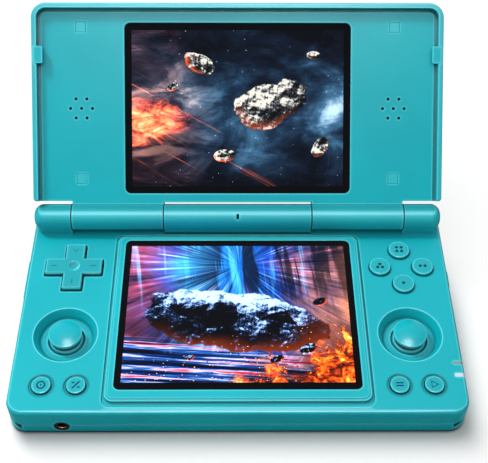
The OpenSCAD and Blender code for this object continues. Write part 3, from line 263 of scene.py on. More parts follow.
class Graph:
    """The nodes of one material, world or light."""

    def __init__(self, tree):
        self.tree = tree
        tree.nodes.clear()

    def node(self, kind, settings=None, inputs=None, out=0):
        """Adds a node: its settings first, then its sockets' values or links. Returns one output."""
        made = self.tree.nodes.new(kind)
        for name, value in (settings or {}).items():
            if name == "stops":
                ramp = made.color_ramp
                while len(ramp.elements) < len(value):
                    ramp.elements.new(0.5)
                for element, (place, colour) in zip(ramp.elements, value):
                    element.position = place
                    element.color = (*colour, 1.0)
            else:
                setattr(made, name, value)
        for name, value in (inputs or {}).items():
            self.feed(made.inputs[name], value)
        return Field(self, made.outputs[out]) if len(made.outputs) else None

    def feed(self, socket, value):
        """Links an expression to a socket, or sets the socket's own value."""
        if isinstance(value, Field):
            self.tree.links.new(value.socket, socket)
        elif hasattr(value, "__len__") and len(value) == 3 and len(socket.default_value) == 4:
            socket.default_value = (*value, 1.0)
        else:
            socket.default_value = value

    def maths(self, operation, *values):
        return self.node("ShaderNodeMath", {"operation": operation}, dict(enumerate(values)))

    def vector(self, operation, *values, out=0):
        return self.node("ShaderNodeVectorMath", {"operation": operation}, dict(enumerate(values)), out)

    def mix(self, factor, a, b, how="MIX"):
        return self.node("ShaderNodeMix", {"data_type": "RGBA", "blend_type": how, "clamp_factor": True},
                         {0: factor, 6: a, 7: b}, out=2)

    def ramp(self, value, stops):
        return self.node("ShaderNodeValToRGB", {"stops": stops}, {"Fac": value})

    def place(self):
        """The place on the object, in millimetres."""
        return self.vector("MULTIPLY", self.node("ShaderNodeTexCoord", out=3), (1 / MM,) * 3)

    def normal(self):
        """The way that the surface faces, in the object's own axes."""
        return self.node("ShaderNodeTexCoord", out=1)

    def axes(self, spot):
        """The three parts of a place or a direction."""
        part = self.node("ShaderNodeSeparateXYZ", None, {0: spot})
        return [Field(self, socket) for socket in part.socket.node.outputs]

    def join(self, x, y, z=0.0):
        return self.node("ShaderNodeCombineXYZ", None, {0: x, 1: y, 2: z})

    def noise(self, spot, scale, detail=2.0, rough=0.5, bend=0.0):
        return self.node("ShaderNodeTexNoise", None, {
            "Vector": spot, "Scale": scale, "Detail": detail, "Roughness": rough, "Distortion": bend})

    def cells(self, spot, scale, feature="F1", chaos=1.0, out=0):
        return self.node("ShaderNodeTexVoronoi", {"feature": feature},
                         {"Vector": spot, "Scale": scale, "Randomness": chaos}, out=out)

    def bump(self, height, strength, distance, normal=None):
        inputs = {"Height": height, "Strength": strength, "Distance": distance}
        if normal is not None:
            inputs["Normal"] = normal
        return self.node("ShaderNodeBump", None, inputs)

    def open_air(self, reach, settings=None):
        """1 in the open, less where something stands within reach, in metres."""
        return self.node("ShaderNodeAmbientOcclusion", {"samples": 8, **(settings or {})},
                         {"Distance": reach}, out=1)

    def ray(self, kind):
        """1 for one kind of ray, such as the camera's."""
        return self.node("ShaderNodeLightPath", out=kind)

    def show(self, shader):
        self.node("ShaderNodeOutputMaterial", None, {"Surface": shader})

    def principled(self, sockets):
        self.show(self.node("ShaderNodeBsdfPrincipled", None, sockets))


def material(name):
    made = bpy.data.materials.new(name)
    made.use_nodes = True
    return made, Graph(made.node_tree)


def even_normals(node):
    """Shades the facets of a hull's fillets as one curve; the big flats stay flat."""
    name = "even fillets"
    tree = bpy.data.node_groups.get(name)
    if tree is None:
        tree = bpy.data.node_groups.new(name, "GeometryNodeTree")
        for way in ("INPUT", "OUTPUT"):
            tree.interface.new_socket("Geometry", in_out=way, socket_type="NodeSocketGeometry")
        g = Graph(tree)
        shape = g.node("NodeGroupInput")
        shape = g.node("GeometryNodeMergeByDistance", None, {"Geometry": shape, "Distance": 0.001 * MM})
        shape = g.node("GeometryNodeRemoveAttribute", None, {"Geometry": shape, "Name": "custom_normal"})
        shape = g.node("GeometryNodeSetShadeSmooth", {"domain": "FACE"},
                       {"Geometry": shape, "Shade Smooth": True})
        angle = g.node("GeometryNodeInputMeshEdgeAngle")
        sharp = g.node("FunctionNodeCompare", {"operation": "GREATER_THAN"}, {0: angle, 1: SHARP_ANGLE})
        shape = g.node("GeometryNodeSetShadeSmooth", {"domain": "EDGE"},
                       {"Geometry": shape, "Selection": sharp, "Shade Smooth": False})
        g.node("NodeGroupOutput", None, {0: shape})
    NODES[node].modifiers.new(name, "NODES").node_group = tree
    weighted = NODES[node].modifiers.new("weighted normals", "WEIGHTED_NORMAL")
    weighted.weight = 100
    weighted.keep_sharp = True


def dress(finish, *nodes):
    """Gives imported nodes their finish."""
    for node in nodes:
        slots = NODES[node].data.materials
        slots.clear()
        slots.append(finish)


# ---------------------------------------------------------------- finishes

def deep_plastic():
    """The colour of the shell's plastic in deep shade."""
    return shaded(bpy.context.scene.console_shell.plastic, 0.22)


def nearest_hole(g, spot, nodes):
    """The distance in millimetres to the edge of the nearest of some round buttons."""
    x, y, _ = g.axes(spot)
    flat = g.join(x, y)
    near = None
    for node in nodes:
        low, high = box_of(node)
        middle = (low + high) / 2
        gap = g.vector("DISTANCE", flat, (middle.x, middle.y, 0.0), out=1) - (high.x - low.x) / 2
        near = gap if near is None else near.least(gap)
    return near


# Each shade function takes the graph, the place, the three parts of the surface's normal (lean) and
# the colour so far, and returns the colour with the painted light and shade that only that piece shows

def shade_deck(g, spot, lean, base):
    """Painted shade below the lid, around the small buttons and at the wells' feet; painted highlights on
    the wells' rims.
    """
    x, y, z = g.axes(spot)
    # painted shade near the hinge, deeper under the lid
    under_lid = (1.0 - g.open_air(LID_SHADE_REACH * MM)).step(0.0, 0.5)
    near_hinge = (y - 12.0).step(0.0, 20.0)
    base = g.mix(near_hinge * (0.15 + under_lid * 0.12), base, deep_plastic())
    # painted shade in the ring around each small button
    ring = 1.0 - (nearest_hole(g, spot, SMALL_MARKS) - 0.3).step(0.0, 0.7)
    base = g.mix(ring * (z - DECK_Z + 1.0).step(0.0, 0.3) * 0.42, base, deep_plastic())
    dx = x.abs() - GROUP_X
    dy = y - STICK_Y
    out = (dx * dx + dy * dy).sqrt()
    # painted shade at the foot of each well's wall
    foot = (1.0 - (out - WELL_FLOOR_R).abs().step(0.2, 0.9)) * (DECK_Z - 1.5 - z).step(0.0, 0.5)
    base = g.mix(foot * 0.4, base, deep_plastic())
    # painted highlight on each well's rim
    rim = (1.0 - (out - WELL_R - 0.15).abs().step(0.08, 0.3)) * (z - DECK_Z + 0.5).step(0.0, 0.3)
    return g.mix(rim * 0.45, base, PAINTED_HIGHLIGHT)


def shade_base(g, spot, lean, base):
    """Painted shade inside the strap slots in the front corners."""
    x, y, z = g.axes(spot)
    out_x = (x.abs() - SLOT_X).most(0.0)
    out_y = (SLOT_Y - y).most(0.0)
    within = (SLOT_REACH - (out_x * out_x + out_y * out_y).sqrt()).step(0.0, 0.5)
    at_slot = out_x.step(0.9, 1.1) * out_y.step(0.4, 0.55) * (z - SLOT_Z).step(-0.1, 0.0)
    return g.mix(within * at_slot * 0.94, base, SLOT_PAINTED_SHADE)


def at_barrel(g, spot):
    """1 on the hinge's barrels and caps, 0 elsewhere."""
    _, y, z = g.axes(spot)
    dy = y - HINGE_Y
    dz = z - HINGE_Z
    return 1.0 - (dy * dy + dz * dz).sqrt().step(BARREL_R + 0.15, BARREL_R + 0.6)


def shade_barrel(g, spot, lean, base):
    """Painted shade on the back of the barrels' top and in the seam at each joint."""
    x = g.axes(spot)[0]
    on_barrel = at_barrel(g, spot)
    # painted shade, chosen by the way the surface faces
    back = lean[1].step(-0.5, 0.0) * lean[2].step(0.35, 0.6)
    base = g.mix(on_barrel * back * 0.45, base, deep_plastic())
    # painted shade in the seams between the caps, the lid's barrels and the centre barrel
    for seam in (box_of("hinge_cap_right")[0].x + 0.05, box_of("hinge_centre")[1].x + 0.3):
        line = 1.0 - (x.abs() - seam).abs().step(0.18, 0.32)
        base = g.mix(line * on_barrel * 0.85, base, SEAM_PAINTED_SHADE)
    return base


def shade_centre(g, spot, lean, base):
    """The centre barrel is as the others, with a painted shadow at its foot on the deck."""
    _, y, z = g.axes(spot)
    foot = (DECK_Z + 1.2 - z).step(0.0, 0.6) * (HINGE_Y - y).step(0.0, 0.5)
    return g.mix(foot * 0.9, shade_barrel(g, spot, lean, base), FOOT_PAINTED_SHADOW)


def shade_pad(g, spot, lean, base):
    """Painted shade at the upper left and a painted highlight at the lower right of the dish in the
    middle of the cross pad.
    """
    x, y, _ = g.axes(spot)
    dx = x + GROUP_X
    dy = y - PAD_Y
    out = (dx * dx + dy * dy).sqrt()
    side = (dx * 0.75 - dy * 0.66) / DISH_R
    inside = 1.0 - out.step(DISH_R - 0.3, DISH_R)
    base = g.mix(inside * (-side).step(-0.1, 0.8) * 0.4, base, deep_plastic())
    return g.mix(inside * side.step(0.25, 0.95) * 0.5, base, DISH_PAINTED_HIGHLIGHT)


def shade_stick(g, spot, lean, base):
    """Painted shadow on the skirt below a stick's cap, with one painted highlight line around it."""
    z = g.axes(spot)[2]
    # painted shadow just below the cap
    dark = (CAP_LOW_Z - z).step(0.0, 0.25) * (z - SKIRT_LINE_Z - 0.2).step(0.0, 0.35)
    base = g.mix(dark * 0.9, base, SKIRT_PAINTED_SHADOW)
    # painted highlight line around the skirt
    line = 1.0 - (z - SKIRT_LINE_Z).abs().step(0.1, 0.3)
    return g.mix(line * 0.6, base, SKIRT_PAINTED_HIGHLIGHT)


def shell_plastic(name, satin, gloss=0.0, reach=4.6, depth=(0.15, 0.85), edge_highlight_level=0.45, line=0.42,
                  shine=0.28, tone=1.0, barrel=0.0, deck=False, shade=None):
    """Moulded turquoise plastic with fine grain.

    It is lighter on its edges and on its upward fillets, a painted highlight whose strengths are the
    two arguments after depth, and darker where something stands within reach, in millimetres, a
    painted shade; depth is where that shade starts and where it is full. barrel is the roughness
    added on the hinge's barrels. deck leaves out the painted edge highlight around the buttons and
    the painted shade at the back, and shade adds the painted light and shade that only one piece
    shows.
    """
    shell = bpy.context.scene.console_shell
    made, g = material(name)
    spot = g.place()
    drift = g.noise(spot, 0.035, 3.0, 0.55)
    pearl = g.noise(spot, 5.0, 2.0, 0.6)
    soft = g.node("ShaderNodeBevel", {"samples": 6}, {"Radius": shell.edge_radius})
    # painted edge highlight: lighter along convex edges, left off around the buttons on the deck
    inward = g.open_air(EDGE_REACH * MM, {"inside": True, "only_local": True})
    edge = (1.0 - inward).step(0.04, 0.32)
    if deck:
        edge = edge * nearest_hole(g, spot, (*SMALL_MARKS, *FACE_PIPS)).step(0.8, 1.4)
    base = g.mix(drift.step(0.3, 0.7), shaded(shell.plastic, tone), shaded(shell.plastic_deep, tone))
    base = g.mix(pearl.step(0.35, 0.75) * 0.05, base, PEARL)
    base = g.mix(edge * edge_highlight_level, base, shell.edge)
    lean = g.axes(g.normal())
    # painted highlight on fillets that face partly upwards
    fillet_highlight = lean[2].step(0.80, 0.88) * (1.0 - lean[2].step(0.93, 0.985))
    base = g.mix(fillet_highlight * line, base, PAINTED_HIGHLIGHT)
    # painted shade where something stands within reach, left off near the hinge on the deck
    closed = (1.0 - g.open_air(reach * MM)).step(*depth) * 0.86
    if deck:
        closed = closed * (1.0 - g.axes(spot)[1].step(24.0, 30.0))
    base = g.mix(closed, base, deep_plastic())
    if shade:
        base = shade(g, spot, lean, base)
    grain = g.noise(spot, 2.2, 3.0, 0.55)
    rough = satin + (grain - 0.5) * 0.10 + (drift - 0.5) * 0.06
    if barrel:
        rough = rough + at_barrel(g, spot) * barrel
    g.principled({
        "Base Color": base, "Roughness": rough.step(0.0, 1.0), "IOR": 1.48, "Specular IOR Level": shine,
        "Coat Weight": gloss, "Coat Roughness": 0.12,
        "Normal": g.bump(grain, 0.05, 0.02 * MM, soft)})
    return made


def plain_finish(name, colour, rough, grain_scale=3.0, spread=0.12, bump=0.15, shine=0.5):
    """A moulded or inked finish with grain and drifting colour."""
    made, g = material(name)
    spot = g.place()
    grain = g.noise(spot, grain_scale, 4.0, 0.6)
    drift = g.noise(spot, 0.25, 2.0)
    paler = tuple(min(1.0, c * 1.5 + 0.01) for c in colour)
    base = g.mix(grain.step(0.3, 0.7) * spread * 3, colour, paler)
    base = g.mix(drift.step(0.35, 0.7) * 0.25, base, shaded(colour, 0.7))
    g.principled({"Base Color": base, "Roughness": (rough + (grain - 0.5) * spread).step(0.0, 1.0),
                  "Specular IOR Level": shine, "Normal": g.bump(grain, bump, 0.03 * MM)})
    return made


def brushed_metal(name, colour, rough):
    """Turned or drawn metal with fine lines."""
    made, g = material(name)
    x, y, z = g.axes(g.place())
    lines = g.noise(g.join(x * 0.6, y * 9.0, z * 9.0), 2.0, 3.0, 0.6)
    base = g.mix(lines.step(0.3, 0.7) * 0.5, colour, shaded(colour, 0.72))
    g.principled({"Base Color": base, "Roughness": (rough + (lines - 0.5) * 0.2).step(0.0, 1.0),
                  "Metallic": 1.0, "Normal": g.bump(lines, 0.2, 0.02 * MM)})
    return made


def woven_cloth(name):
    """Black speaker cloth: threads over and under."""
    made, g = material(name)
    x, y, _ = g.axes(g.place())
    warp, weft = (g.maths("SINE", across * 14.0) for across in (x, y))
    weave = (warp * weft).step(-0.8, 0.8)
    base = g.mix(weave, srgb(12, 16, 20), srgb(52, 60, 66))
    g.principled({"Base Color": base, "Roughness": 0.85, "Normal": g.bump(weave, 0.6, 0.05 * MM)})
    return made


def circuit_board(name):
    """Green board with traces, pads and small parts' outlines."""
    made, g = material(name)
    spot = g.place()
    trace = g.cells(spot, 0.5, "DISTANCE_TO_EDGE", 0.35)
    pads = g.cells(spot, 0.7, "F1", 0.2)
    base = g.mix(trace.step(0.02, 0.05), srgb(70, 150, 84), srgb(16, 74, 44))
    base = g.mix(1.0 - pads.step(0.10, 0.14), base, srgb(212, 176, 92))
    g.principled({"Base Color": base, "Roughness": 0.42, "Coat Weight": 0.4,
                  "Normal": g.bump(trace, 0.3, 0.05 * MM)})
    return made


def milky_guide(name, colour, glow):
    """A moulded light guide with a faint glow."""
    made, g = material(name)
    spot = g.place()
    cloud = g.noise(spot, 0.9, 3.0)
    base = g.mix(cloud.step(0.3, 0.7), colour, shaded(colour, 0.86))
    g.principled({"Base Color": base, "Roughness": (0.24 + cloud * 0.1).step(0.0, 1.0),
                  "Emission Color": base, "Emission Strength": glow, "Coat Weight": 0.4})
    return made


# ---------------------------------------------------------------- the two pictures

GREY_STONE = [(0.22, srgb(14, 17, 22)), (0.45, srgb(58, 62, 68)), (0.62, srgb(128, 130, 132)),
              (0.85, srgb(222, 220, 212))]
STEEL_STONE = [(0.38, srgb(6, 8, 16)), (0.62, srgb(20, 28, 48)), (0.78, srgb(66, 96, 140)),
               (1.0, srgb(198, 220, 244))]


def punch(g, picture, slope=1.3, floor=0.55):
    """Deepens the darks of a picture and lifts its lights."""
    lift = g.vector("MULTIPLY_ADD", picture, (slope,) * 3, (floor,) * 3)
    return g.vector("MULTIPLY", picture, lift)


def boulder(g, sky, u, v, centre, size, flat, tilt, seed, stops, glow, heat, cut=0.1):
    """Paints one drifting boulder over the sky: cold light from above, a warm rim of strength heat."""
    du = u - centre[0]
    dv = v - centre[1]
    a = du * math.cos(tilt) + dv * math.sin(tilt)
    b = dv * math.cos(tilt) - du * math.sin(tilt)
    here = g.join(u, v, seed)
    shape = g.noise(here, 2.2 / (size + 0.35), 5.0, 0.55)
    reach = ((a * a) / (size * size) + (b * b) / (size * size * flat * flat)).sqrt() + (shape - 0.5) * 1.1
    body = (1.0 - reach).step(-0.02, 0.03)
    grit = (3.6 / (size + 0.2), 8.0, 0.72)
    chips = g.noise(g.join(u, v, seed + 2.0), *grit)
    uphill = g.noise(g.join(u - 0.012, v + 0.022, seed + 2.0), *grit)
    pits = g.cells(here, 3.4 / (size + 0.2), "SMOOTH_F1")
    facets = g.axes(g.cells(g.join(u * 1.2, v * 1.6, seed), 2.6 / (size + 0.16), out=1))[0]
    broken = g.join(u * 1.2 + (chips - 0.5) * 0.1, v * 1.7, seed)
    chunks = g.axes(g.cells(broken, 11.0 / (size + 0.3), out=1))[1]
    across = a / size
    up = b / (size * flat)
    light = (chips - 0.5) * (1.1 - cut) + 0.5 + (b - a * 0.25) / size * 0.24 + (pits - 0.4) * 0.2
    light = light + (chips - uphill) * 2.2 + (facets - 0.5) * (0.2 + cut * 0.2)
    light = light + (chunks - 0.5) * cut * 0.45 + up.step(0.1, 0.9) * cut * 0.5 + across * cut * 0.12
    stone = g.ramp(light.step(0.0, 1.0), stops)
    rim = reach.step(0.5, 1.0) * (0.25 - up * 0.6 + across * glow[0]).step(0.0, 1.0) * heat
    stone = g.mix(rim, stone, glow[1], "SCREEN")
    return g.mix(body, sky, stone)


def upper_picture(g, u, v):
    """Drifting rocks in a blue cloud, with embers on the left."""
    spot = g.join(u, v)
    cloud = g.noise(spot, 1.7, 7.0, 0.58, 0.7)
    wisps = g.noise(g.join(u * 0.7 + v * 0.9, v * 1.8 - u * 0.3, 3.0), 1.9, 6.0, 0.62, 0.5)
    sky = g.ramp(cloud * 0.62 + wisps * 0.38 - (v - 0.02) * (v - 0.02) * 0.2, [
        (0.36, srgb(5, 11, 24)), (0.44, srgb(20, 36, 58)), (0.51, srgb(42, 74, 102)),
        (0.59, srgb(88, 134, 162)), (0.68, srgb(196, 218, 232))])
    sky = g.mix((-u - 0.1 + (cloud - 0.5)).step(0.0, 0.9) * 0.7, sky, g.ramp(wisps - v * v * 0.2, [
        (0.38, srgb(20, 15, 26)), (0.51, srgb(88, 58, 70)), (0.62, srgb(214, 166, 154))]))
    # embers low on the left, and a hot knot at the edge
    heat = g.noise(g.join(u * 1.1 + v * 1.5, v * 2.4 - u * 0.5, 7.0), 3.0, 8.0, 0.70, 0.7)
    near = (1.0 - (((u + 1.0) ** 2.0) * 1.3 + ((v + 0.12) ** 2.0) * 5.5)).step(0.0, 1.0)
    ember = (heat + near * 0.62 - 0.46).step(0.26, 0.9)
    fire = g.ramp(ember, [(0.0, (0, 0, 0)), (0.25, srgb(96, 30, 28)), (0.5, srgb(206, 92, 56)),
                          (0.75, srgb(255, 190, 136)), (1.0, srgb(255, 240, 214))])
    sky = g.mix(ember.step(0.02, 0.5), sky, fire, "SCREEN")
    # long thin trails from upper left to lower right
    along = u * 0.88 - v * 0.47
    across = u * 0.47 + v * 0.88
    trails = g.noise(g.join(along * 0.8, across * 24.0, 5.0), 1.0, 4.0, 0.55)
    trail = trails.step(0.60, 0.74) * (0.05 - across).step(0.0, 0.5) * (0.7 - u).step(0.0, 1.0)
    sky = g.mix(trail * 0.9, sky, srgb(255, 140, 92), "SCREEN")
    dust = g.cells(spot, 17.0)
    sky = g.mix((0.075 - dust).step(0.0, 0.05) * cloud.step(0.35, 0.6), sky, srgb(232, 242, 255), "ADD")
    warm = (-0.6, srgb(255, 128, 60))
    for seed, tilt, size, place, heat_here in (
            (0.0, 0.35, 0.36, (0.30, 0.02), 0.35), (5.0, -0.5, 0.15, (-0.36, 0.42), 0.7),
            (9.0, 0.9, 0.12, (0.78, -0.36), 0.2), (13.0, 0.2, 0.10, (-0.12, -0.44), 0.9),
            (17.0, 0.6, 0.055, (-0.62, 0.20), 1.0), (21.0, 0.0, 0.07, (0.72, 0.50), 0.2)):
        sky = boulder(g, sky, u, v, place, size, 0.6, tilt, seed, GREY_STONE, warm, heat_here)
    return punch(g, sky)


def lower_picture(g, u, v):
    """A steel-blue boulder racing through streaks of light, with fire and sparks under it."""
    du = u - 0.02
    dv = v - 0.52
    reach = (du * du + dv * dv).sqrt() + 0.001
    cu = du / reach
    cv = dv / reach
    rays = g.noise(g.join(cu * 7.0, cv * 7.0, reach * 0.8), 1.5, 4.0, 0.62)
    fine = g.noise(g.join(cu * 24.0, cv * 24.0, reach * 1.6 + 4.0), 1.0, 3.0, 0.6)
    cloud = g.noise(g.join(u, v, 2.0), 1.6, 5.0, 0.6, 0.8)
    side = (u + (cloud - 0.5) * 1.1).step(-1.0, 1.0)
    tone = g.ramp(side, [
        (0.0, srgb(190, 118, 150)), (0.09, srgb(136, 140, 215)), (0.20, srgb(116, 204, 246)),
        (0.5, srgb(60, 160, 226)), (0.78, srgb(60, 112, 196)), (1.0, srgb(206, 150, 140))])
    glow = (rays * 0.8 + fine * 0.42 + cloud * 0.4 - 0.62).step(-0.06, 0.32)
    base = g.mix(glow, srgb(14, 44, 92), tone)
    hot = (fine * 0.8 + rays * 0.6 - 0.76).step(0.0, 0.14)
    flare = g.ramp(g.noise(g.join(cu * 4.0, cv * 4.0, 9.0), 1.3, 2.0), [
        (0.36, srgb(255, 110, 170)), (0.47, srgb(90, 190, 255)), (0.56, srgb(235, 240, 255)),
        (0.66, srgb(255, 150, 90))])
    base = g.mix(hot * reach.step(0.08, 0.4), base, flare, "SCREEN")
    # tall dark pillars of cloud with cold light between them
    shafts = g.noise(g.join(u * 5.0 + v * 0.5, v * 0.35, 15.0), 1.1, 4.0, 0.62)
    tall = (v + 0.12).step(0.0, 0.5)
    pillar = (0.50 - shafts).step(0.0, 0.07) * tall * (u + 0.7).step(0.0, 0.7)
    base = g.mix(pillar * 0.8, base, srgb(10, 26, 54))
    base = g.mix(shafts.step(0.54, 0.64) * tall * 0.6, base, srgb(130, 210, 255), "SCREEN")
    # dusk in the lower left, warm haze on the right
    dusk = (-u - 0.1).step(0.0, 0.7) * (0.35 - v).step(0.0, 0.6)
    base = g.mix(dusk * 0.6, base, srgb(70, 30, 54), "MULTIPLY")
    haze = (u * 0.9 - v * 0.5 - 0.25 + (cloud - 0.5)).step(0.0, 0.9)
    base = g.mix(haze * 0.5, base, srgb(226, 166, 108), "SCREEN")
    # banded streaks below
    band = g.noise(g.join(u * 0.7, (v + u * 0.07) * 19.0, 6.0), 1.0, 4.0, 0.62)
    streak = g.ramp(band, [
        (0.36, srgb(8, 16, 40)), (0.45, srgb(24, 66, 128)), (0.51, srgb(70, 140, 196)),
        (0.55, srgb(226, 214, 226)), (0.60, srgb(226, 92, 120)), (0.68, srgb(30, 50, 110))])
    low = (-v - 0.36 - u * 0.12 + (cloud - 0.5) * 0.2).step(0.0, 0.14)
    base = g.mix(low, base, streak)
    # fire low on the right, with sparks all along the ground
    flames = g.noise(g.join(u * 1.5, v * 1.7, 11.0), 3.6, 9.0, 0.74, 0.7)
    fire_at = (-v + u * 0.55 - 0.50 + (flames - 0.5) * 1.3).step(0.0, 0.5)
    fire = g.ramp(flames * 0.9 + fire_at * 0.10, [
        (0.42, srgb(18, 9, 12)), (0.51, srgb(130, 48, 20)), (0.58, srgb(240, 130, 44)),
        (0.65, srgb(255, 206, 110)), (0.73, srgb(255, 250, 226))])
    base = g.mix(fire_at * (u + 0.45).step(0.0, 0.6), base, fire)
    ember_glow = srgb(255, 132, 48)
    base = boulder(g, base, u, v, (-0.07, -0.10), 0.86, 0.37, -0.14, 31.0, STEEL_STONE,
                   (0.35, ember_glow), 0.3, 0.5)
    for seed, size, place in ((37.0, 0.09, (0.62, -0.42)), (41.0, 0.06, (0.34, -0.52)),
                              (43.0, 0.05, (-0.42, -0.50)), (47.0, 0.07, (0.74, 0.10))):
        base = boulder(g, base, u, v, place, size, 0.6, 0.4, seed, STEEL_STONE, (0.2, ember_glow), 0.9)
    fall = (-v + u * 0.3 - 0.12).step(0.0, 0.3)
    chips = g.cells(g.join(u * 1.2, v * 1.5, 8.0), 12.0)
    chip = (0.16 - chips).step(0.0, 0.05) * fall * (u + 0.6).step(0.0, 0.5)
    base = g.mix(chip * 0.8, base, srgb(24, 12, 12))
    sparks = g.cells(g.join(u * 0.7, v * 1.4, 1.0), 26.0)
    base = g.mix((0.15 - sparks).step(0.0, 0.08) * fall, base, srgb(255, 206, 130), "SCREEN")
    return punch(g, base, 2.35, 0.28)


def screen_glass(name, picture, tilted):
    """Black-backed cover glass with a lit picture behind it."""
    made, g = material(name)
    spot = g.place()
    x, y, z = g.axes(spot)
    if tilted:
        up = (y - HINGE_Y) * math.cos(LID_ANGLE) + (z - HINGE_Z) * math.sin(LID_ANGLE) - UP_PICTURE_S
        half = UP_PICTURE_HALF_S
    else:
        up = y - LOW_PICTURE_Y
        half = LOW_PICTURE_HALF_Y
    lit = (PICTURE_HALF_X - x.abs()).step(-0.05, 0.05) * (half - up.abs()).step(-0.05, 0.05)
    shown = g.mix(lit, BLACK, picture(g, x / PICTURE_HALF_X, up / PICTURE_HALF_X))
    smudge = g.noise(spot, 0.08, 3.0, 0.6)
    g.principled({"Base Color": BLACK_GLASS, "Roughness": (0.05 + smudge * 0.06).step(0.0, 1.0),
                  "Specular IOR Level": 0.06, "Emission Color": shown, "Emission Strength": 1.0})
    return made


# ---------------------------------------------------------------- meshes

def mesh_object(name, build, finish, smooth=False):
    """Makes one object from a function that fills a bmesh."""
    bm = bmesh.new()
    build(bm)
    mesh = bpy.data.meshes.new(name)
    bm.to_mesh(mesh)
    bm.free()
    for face in mesh.polygons:
        face.use_smooth = smooth
    mesh.materials.append(finish)
    made = bpy.data.objects.new(name, mesh)
    bpy.context.scene.collection.objects.link(made)
    return made


def mesh_piece(name, build, finish, body, smooth=False):
    """Makes one piece with its faces turned outwards and lets it ride on a body."""
    def build_outward(bm):
        build(bm)
        bmesh.ops.recalc_face_normals(bm, faces=bm.faces)
    piece = mesh_object(name, build_outward, finish, smooth)
    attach(piece, body)


def corner(bm, x, y, z):
    """Adds a vertex that is given in millimetres."""
    return bm.verts.new((x * MM, y * MM, z * MM))


def skin(bm, rings, closed=False):
    """Joins rings of corners with faces; a row of rings that isn't closed gets a cap at each end."""
    for a, b in zip(rings, rings[1:] + (rings[:1] if closed else [])):
        for i in range(len(a)):
            j = (i + 1) % len(a)
            bm.faces.new((a[i], a[j], b[j], b[i]))
    if not closed:
        bm.faces.new(rings[0])
        bm.faces.new(rings[-1])


def turned(bm, profile, centre, axis, steps, closed=False):
    """Turns a profile of (radius, along) points about the Y or Z axis through centre."""
    rings = []
    for radius, along in profile:
        ring = []
        for i in range(steps):
            angle = 2 * math.pi * i / steps
            c, s = radius * math.cos(angle), radius * math.sin(angle)
            offset = (c, along, s) if axis == "Y" else (c, s, along)
            ring.append(corner(bm, *(centre[k] + offset[k] for k in range(3))))
        rings.append(ring)
    skin(bm, rings, closed)


def stroke(bm, points, width, z, closed=False):
    """A flat stroke along points in the plane, half in and half out of a face at height z."""
    last = len(points) - 1
    rings = []
    for i, p in enumerate(points):
        before = points[i - 1] if (i > 0 or closed) else p
        after = points[(i + 1) % len(points)] if (i < last or closed) else p
        way = (Vector(after) - Vector(before)).normalized()
        side = Vector((-way.y, way.x)) * width / 2
        left, right = Vector(p) + side, Vector(p) - side
        low, high = z - MARK_HALF_HEIGHT, z + MARK_HALF_HEIGHT
        rings.append([corner(bm, q.x, q.y, height) for q, height in
                      ((left, low), (right, low), (right, high), (left, high))])
    skin(bm, rings, closed)


def circle_points(radius, steps=20):
    """The corners of a circle around the middle of a button."""
    turns = [2 * math.pi * i / steps for i in range(steps)]
    return [(radius * math.cos(turn), radius * math.sin(turn)) for turn in turns]


# Where the pips stand on each face button, in steps of PIP_SPACING from its middle
FACE_PIPS = {
    "face_button_back": [(-1, 1), (1, 1), (-1, -1), (1, -1)],
    "face_button_left": [(-1, -0.7), (1, -0.7), (0, 0.9)],
    "face_button_right": [(-1, 0), (1, 0)],
    "face_button_front": [(0, 0)],
}

# Each stroke's points in millimetres from the middle of its button, and whether the stroke closes
SMALL_MARKS = {
    "small_button_1": [(circle_points(1.35), True), ([(0, -0.35), (0, 0.35)], False)],
    "small_button_2": [([(-1.2, -1.4), (1.2, 1.4)], False), ([(-1.5, 0.9), (-0.5, 0.9)], False),
                       ([(0.5, -0.9), (1.5, -0.9)], False)],
    "small_button_3": [([(-1.3, 0.55), (1.3, 0.55)], False), ([(-1.3, -0.55), (1.3, -0.55)], False)],
    "small_button_4": [([(-0.95, -1.25), (-0.95, 1.25), (1.35, 0.0)], True)],
}
PAD_MARKS = [([(-6.2, 0), (-8.4, 0)], False), ([(6.2, 0), (8.4, 0)], False),
             ([(0, -6.2), (0, -8.4)], False), ([(-0.8, 8.2), (0, 6.4), (0.8, 8.2)], False)]


# ---------------------------------------------------------------- the stage

def studio_world(scene, ambient):
    """White to the camera, in mirrors and through glass; soft light of level ambient elsewhere."""
    world = bpy.data.worlds.new("studio")
    world.use_nodes = True
    scene.world = world
    g = Graph(world.node_tree)
    seen = g.ray("Is Camera Ray").most(g.ray("Is Glossy Ray")).most(g.ray("Is Transmission Ray"))
    level = ambient + seen * (1.0 - ambient)
    back = g.node("ShaderNodeBackground", None, {"Color": WHITE, "Strength": level})
    g.node("ShaderNodeOutputWorld", None, {"Surface": back})


def floor_paper():
    """White paper with the console's cast shadow and a painted contact shadow at its edge, turning into
    the white background further off.
    """
    made, g = material("floor paper")
    spot = g.place()
    level = g.bump(g.noise(spot, 0.4, 3.0), 0.05, 0.2 * MM)
    # painted contact shadow: darker where the console stands within CONTACT_REACH
    near = g.mix(g.open_air(CONTACT_REACH).step(0.3, 0.75), PAPER_SHADE, PAPER)
    paper, bounce, dim = (g.node("ShaderNodeBsdfDiffuse", None, {"Color": colour, "Normal": level})
                          for colour in (near, PAPER_BOUNCE, PAPER_MIRRORED))
    bounce = g.node("ShaderNodeMixShader", None, {0: g.ray("Is Glossy Ray"), 1: bounce, 2: dim})
    bright = g.node("ShaderNodeEmission", None, {"Color": WHITE, "Strength": 1.0})
    x, y, _ = g.axes(spot)
    behind = y.step(0.0, 40.0) * 0.8
    far = (x * x + y * y).sqrt().step(150.0, 300.0)
    lit = g.node("ShaderNodeMixShader", None, {0: behind.most(far), 1: paper, 2: bright})
    g.show(g.node("ShaderNodeMixShader", None, {0: g.ray("Is Camera Ray"), 1: bounce, 2: lit}))
    return made


